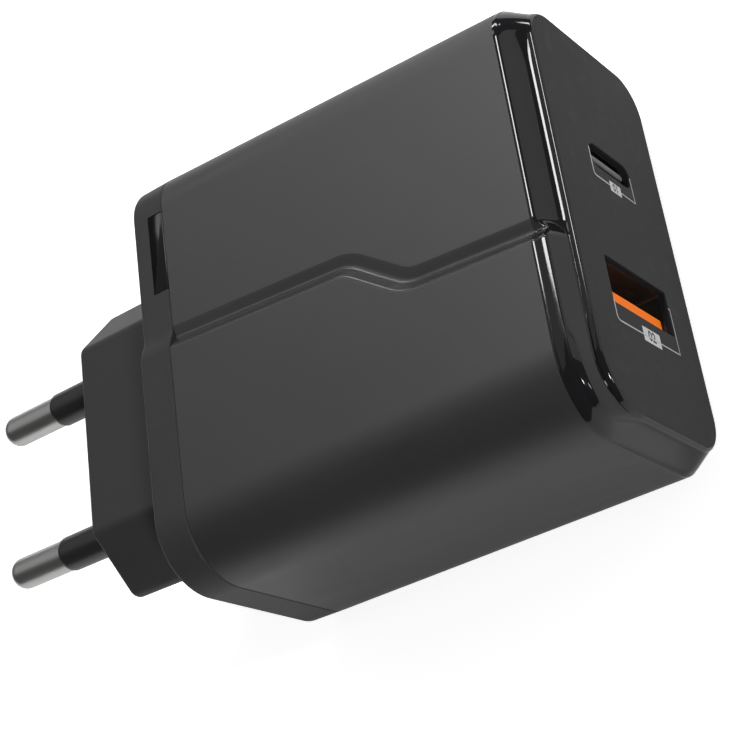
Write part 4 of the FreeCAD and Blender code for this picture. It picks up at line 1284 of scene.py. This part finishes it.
plainInside = {"roughness": 0.35, "metallic": 0.0, "grain": 0.15, "depth": 0.3, "tone": 0.15, "lines": None}
insideShared = {"swell": 0.4, "patch": 3.0, "speckle": 0.3, "speckleShade": 1.3, "lineShade": 0.45,
                "grainShare": 0.25, "wavePeriod": 0.314, "roughSpread": 0.15, "roughDrop": 0.07,
                "relief": 0.02}
insideLooks = {
    "spring_brass": {"roughness": 0.32, "metallic": 1.0, "grain": 0.3, "depth": 0.15,
                     "lines": ("Y", 0.12, 0.12)},
    "led_lens": {"roughness": 0.15, "grain": 0.6, "depth": 0.05, "tone": 0.03},
    "nylon": {"roughness": 0.5, "grain": 0.2, "depth": 0.25, "tone": 0.05},
    "board_laminate": {"grain": 0.25, "lines": ("X", 0.4, 0.2)},
    "insulator": {"roughness": 0.4, "grain": 0.4, "depth": 0.15},
    "black_resin": {"roughness": 0.5, "grain": 0.08, "depth": 0.5},
    "varistor_epoxy": {"roughness": 0.3, "grain": 0.5, "depth": 0.4},
    "thermistor_epoxy": {"grain": 0.5, "depth": 0.4},
    "yellow_box": {"roughness": 0.45, "depth": 0.25, "tone": 0.07},
    "ferrite": {"roughness": 0.6, "grain": 0.12, "depth": 0.6, "tone": 0.25},
    "copper_wire": {"roughness": 0.28, "metallic": 1.0, "grain": 0.3, "depth": 0.8,
                    "lines": ("Z", 0.35, 0.5)},
    "can_sleeve": {"roughness": 0.3, "grain": 0.4, "depth": 0.2, "lines": ("Z", 2.5, 0.1)},
    "yellow_tape": {"roughness": 0.3, "grain": 0.4, "tone": 0.08, "lines": ("Z", 1.5, 0.12)},
    "silicone_pad": {"roughness": 0.75, "grain": 0.25, "depth": 0.6},
    "bare_aluminium": {"metallic": 1.0, "grain": 0.2, "depth": 0.2, "lines": ("Y", 0.1, 0.15)},
}


def insideFinish(name, colour, own):
    finish = {**plainInside, **own}
    material, tree, shader, place = newMaterial(name)
    shared = insideShared
    texture = placeGroup(tree, mouldGrain, place, {"Grain Size": finish["grain"], "Swell": shared["swell"]})
    marks = placeGroup(tree, handling, place, {"Patch Size": shared["patch"]})
    speckle = remap(tree, texture["Variation"], 0.35, 0.7, shared["speckle"])
    base = toned(tree, marks["Tone"], colour, finish["tone"])
    base = mixColours(tree, speckle, base, shade(colour, shared["speckleShade"]))
    height = texture["Height"]
    if finish["lines"]:
        axis, size, share = finish["lines"]
        wave = addNode(tree, "ShaderNodeTexWave", {
            "Vector": place, "Scale": shared["wavePeriod"] / (size * mm), "Distortion": 0.3, "Detail": 1.0},
            bands_direction=axis).outputs[1]
        darker = maths(tree, "MULTIPLY", wave, share)
        base = mixColours(tree, darker, base, shade(colour, shared["lineShade"]))
        height = maths(tree, "ADD", maths(tree, "MULTIPLY", height, shared["grainShare"]), wave)
    rough = maths(tree, "MULTIPLY_ADD", marks["Tone"], shared["roughSpread"],
                  finish["roughness"] - shared["roughDrop"])
    setInputs(tree, shader, {"Base Color": base, "Roughness": rough, "Metallic": finish["metallic"]})
    addBump(tree, shader, height, finish["depth"], shared["relief"])
    return material


def dressInside():
    colours = {row["slot"]: row["base_color"][:3] for row in frame["record"]["materials"]}
    looks = {slot: insideFinish(slot, colours[slot], own) for slot, own in insideLooks.items()}
    for row in frame["record"]["subparts"]:
        if row["material_slot"] in looks:
            shown = frame["nodes"][row["node"]].data.materials
            shown.clear()
            shown.append(looks[row["material_slot"]])


dressInside()
print("inside parts dressed")


# Floor, lamps and world

studio = {"floorRadius": 3.0, "floorSteps": 96, "floorColour": (0.88, 0.88, 0.88), "floorRoughness": 0.9,
          "floorLift": 0.66, "floorGleam": 0.14, "world": 0.08, "lampCentre": (0, 0, 0.014)}
lamps = {
    "key": {"towards": (0.056, 0.542, 0.838), "away": 1.0, "size": (0.26, 0.235), "radiance": 26.0},
    "softbox": {"towards": (-0.50, 0.27, 0.82), "away": 1.2, "size": (1.0, 1.0), "radiance": 0.42},
    "rim": {"towards": (-0.38, 0.70, 0.60), "away": 1.0, "size": (0.4, 0.17), "radiance": 3.0},
    "side": {"towards": (0.83, 0.42, 0.36), "away": 1.4, "size": (0.9, 1.05), "radiance": 0.76},
    "back": {"towards": (0.02, 0.93, 0.34), "away": 1.3, "size": (0.9, 0.14), "radiance": 12.0},
    "front": {"towards": (0.60, -0.55, 0.56), "away": 1.3, "size": (0.17, 0.17), "radiance": 75.0},
    "spot": {"towards": (0.86, -0.45, 0.25), "away": 1.0, "size": (0.12, 0.12), "radiance": 14.0},
}


def makeFloor():
    steps = studio["floorSteps"]
    rim = [(y, z, 0) for y, z in circleRing(0, 0, studio["floorRadius"] / mm, steps)]
    mesh = bpy.data.meshes.new("floor")
    mesh.from_pydata([Vector(p) * mm for p in [(0, 0, 0), *rim]], [],
                     [(0, k + 1, (k + 1) % steps + 1) for k in range(steps)])
    material, tree, shader, place = newMaterial("paleFloor")
    base = toned(tree, noise(tree, place, 6.0, 2.0), studio["floorColour"], 0.01)
    setInputs(tree, shader, {
        "Base Color": base, "Roughness": studio["floorRoughness"], "Specular IOR Level": 0.0})
    # a little light of its own lifts the floor to white for the camera and in reflections
    path = addNode(tree, "ShaderNodeLightPath", {}).outputs
    mirrored = maths(tree, "MAXIMUM", path["Is Glossy Ray"], path["Is Transmission Ray"])
    gleam = maths(tree, "MULTIPLY", mirrored, studio["floorGleam"])
    strength = maths(tree, "MULTIPLY_ADD", path["Is Camera Ray"], studio["floorLift"], gleam)
    lift = addNode(tree, "ShaderNodeEmission", {"Color": (1, 1, 1, 1), "Strength": strength})
    both = addNode(tree, "ShaderNodeAddShader", {0: shader.outputs[0], 1: lift.outputs[0]})
    tree.links.new(both.outputs[0], tree.nodes["Material Output"].inputs["Surface"])
    mesh.materials.append(material)
    floor = addObject("floor", mesh)


def makeLamp(name, lamp):
    width, height = lamp["size"]
    light = bpy.data.lights.new(name, "AREA")
    light.shape = "RECTANGLE"
    light.size, light.size_y = width, height
    light.energy = lamp["radiance"] * math.pi * width * height
    holder = addObject(name, light)
    towards = Vector(lamp["towards"]).normalized()
    holder.location = Vector(studio["lampCentre"]) + towards * lamp["away"]
    holder.rotation_euler = towards.to_track_quat("Z", "Y").to_euler()


def makeWorld():
    world = bpy.data.worlds.new("studio")
    world.use_nodes = True
    setInputs(world.node_tree, world.node_tree.nodes["Background"], {
        "Color": (1, 1, 1, 1), "Strength": studio["world"]})
    bpy.context.scene.world = world


makeFloor()
for lampName, lampSettings in lamps.items():
    makeLamp(lampName, lampSettings)
makeWorld()
bpy.context.scene.view_settings.view_transform = "Standard"
print("studio made")
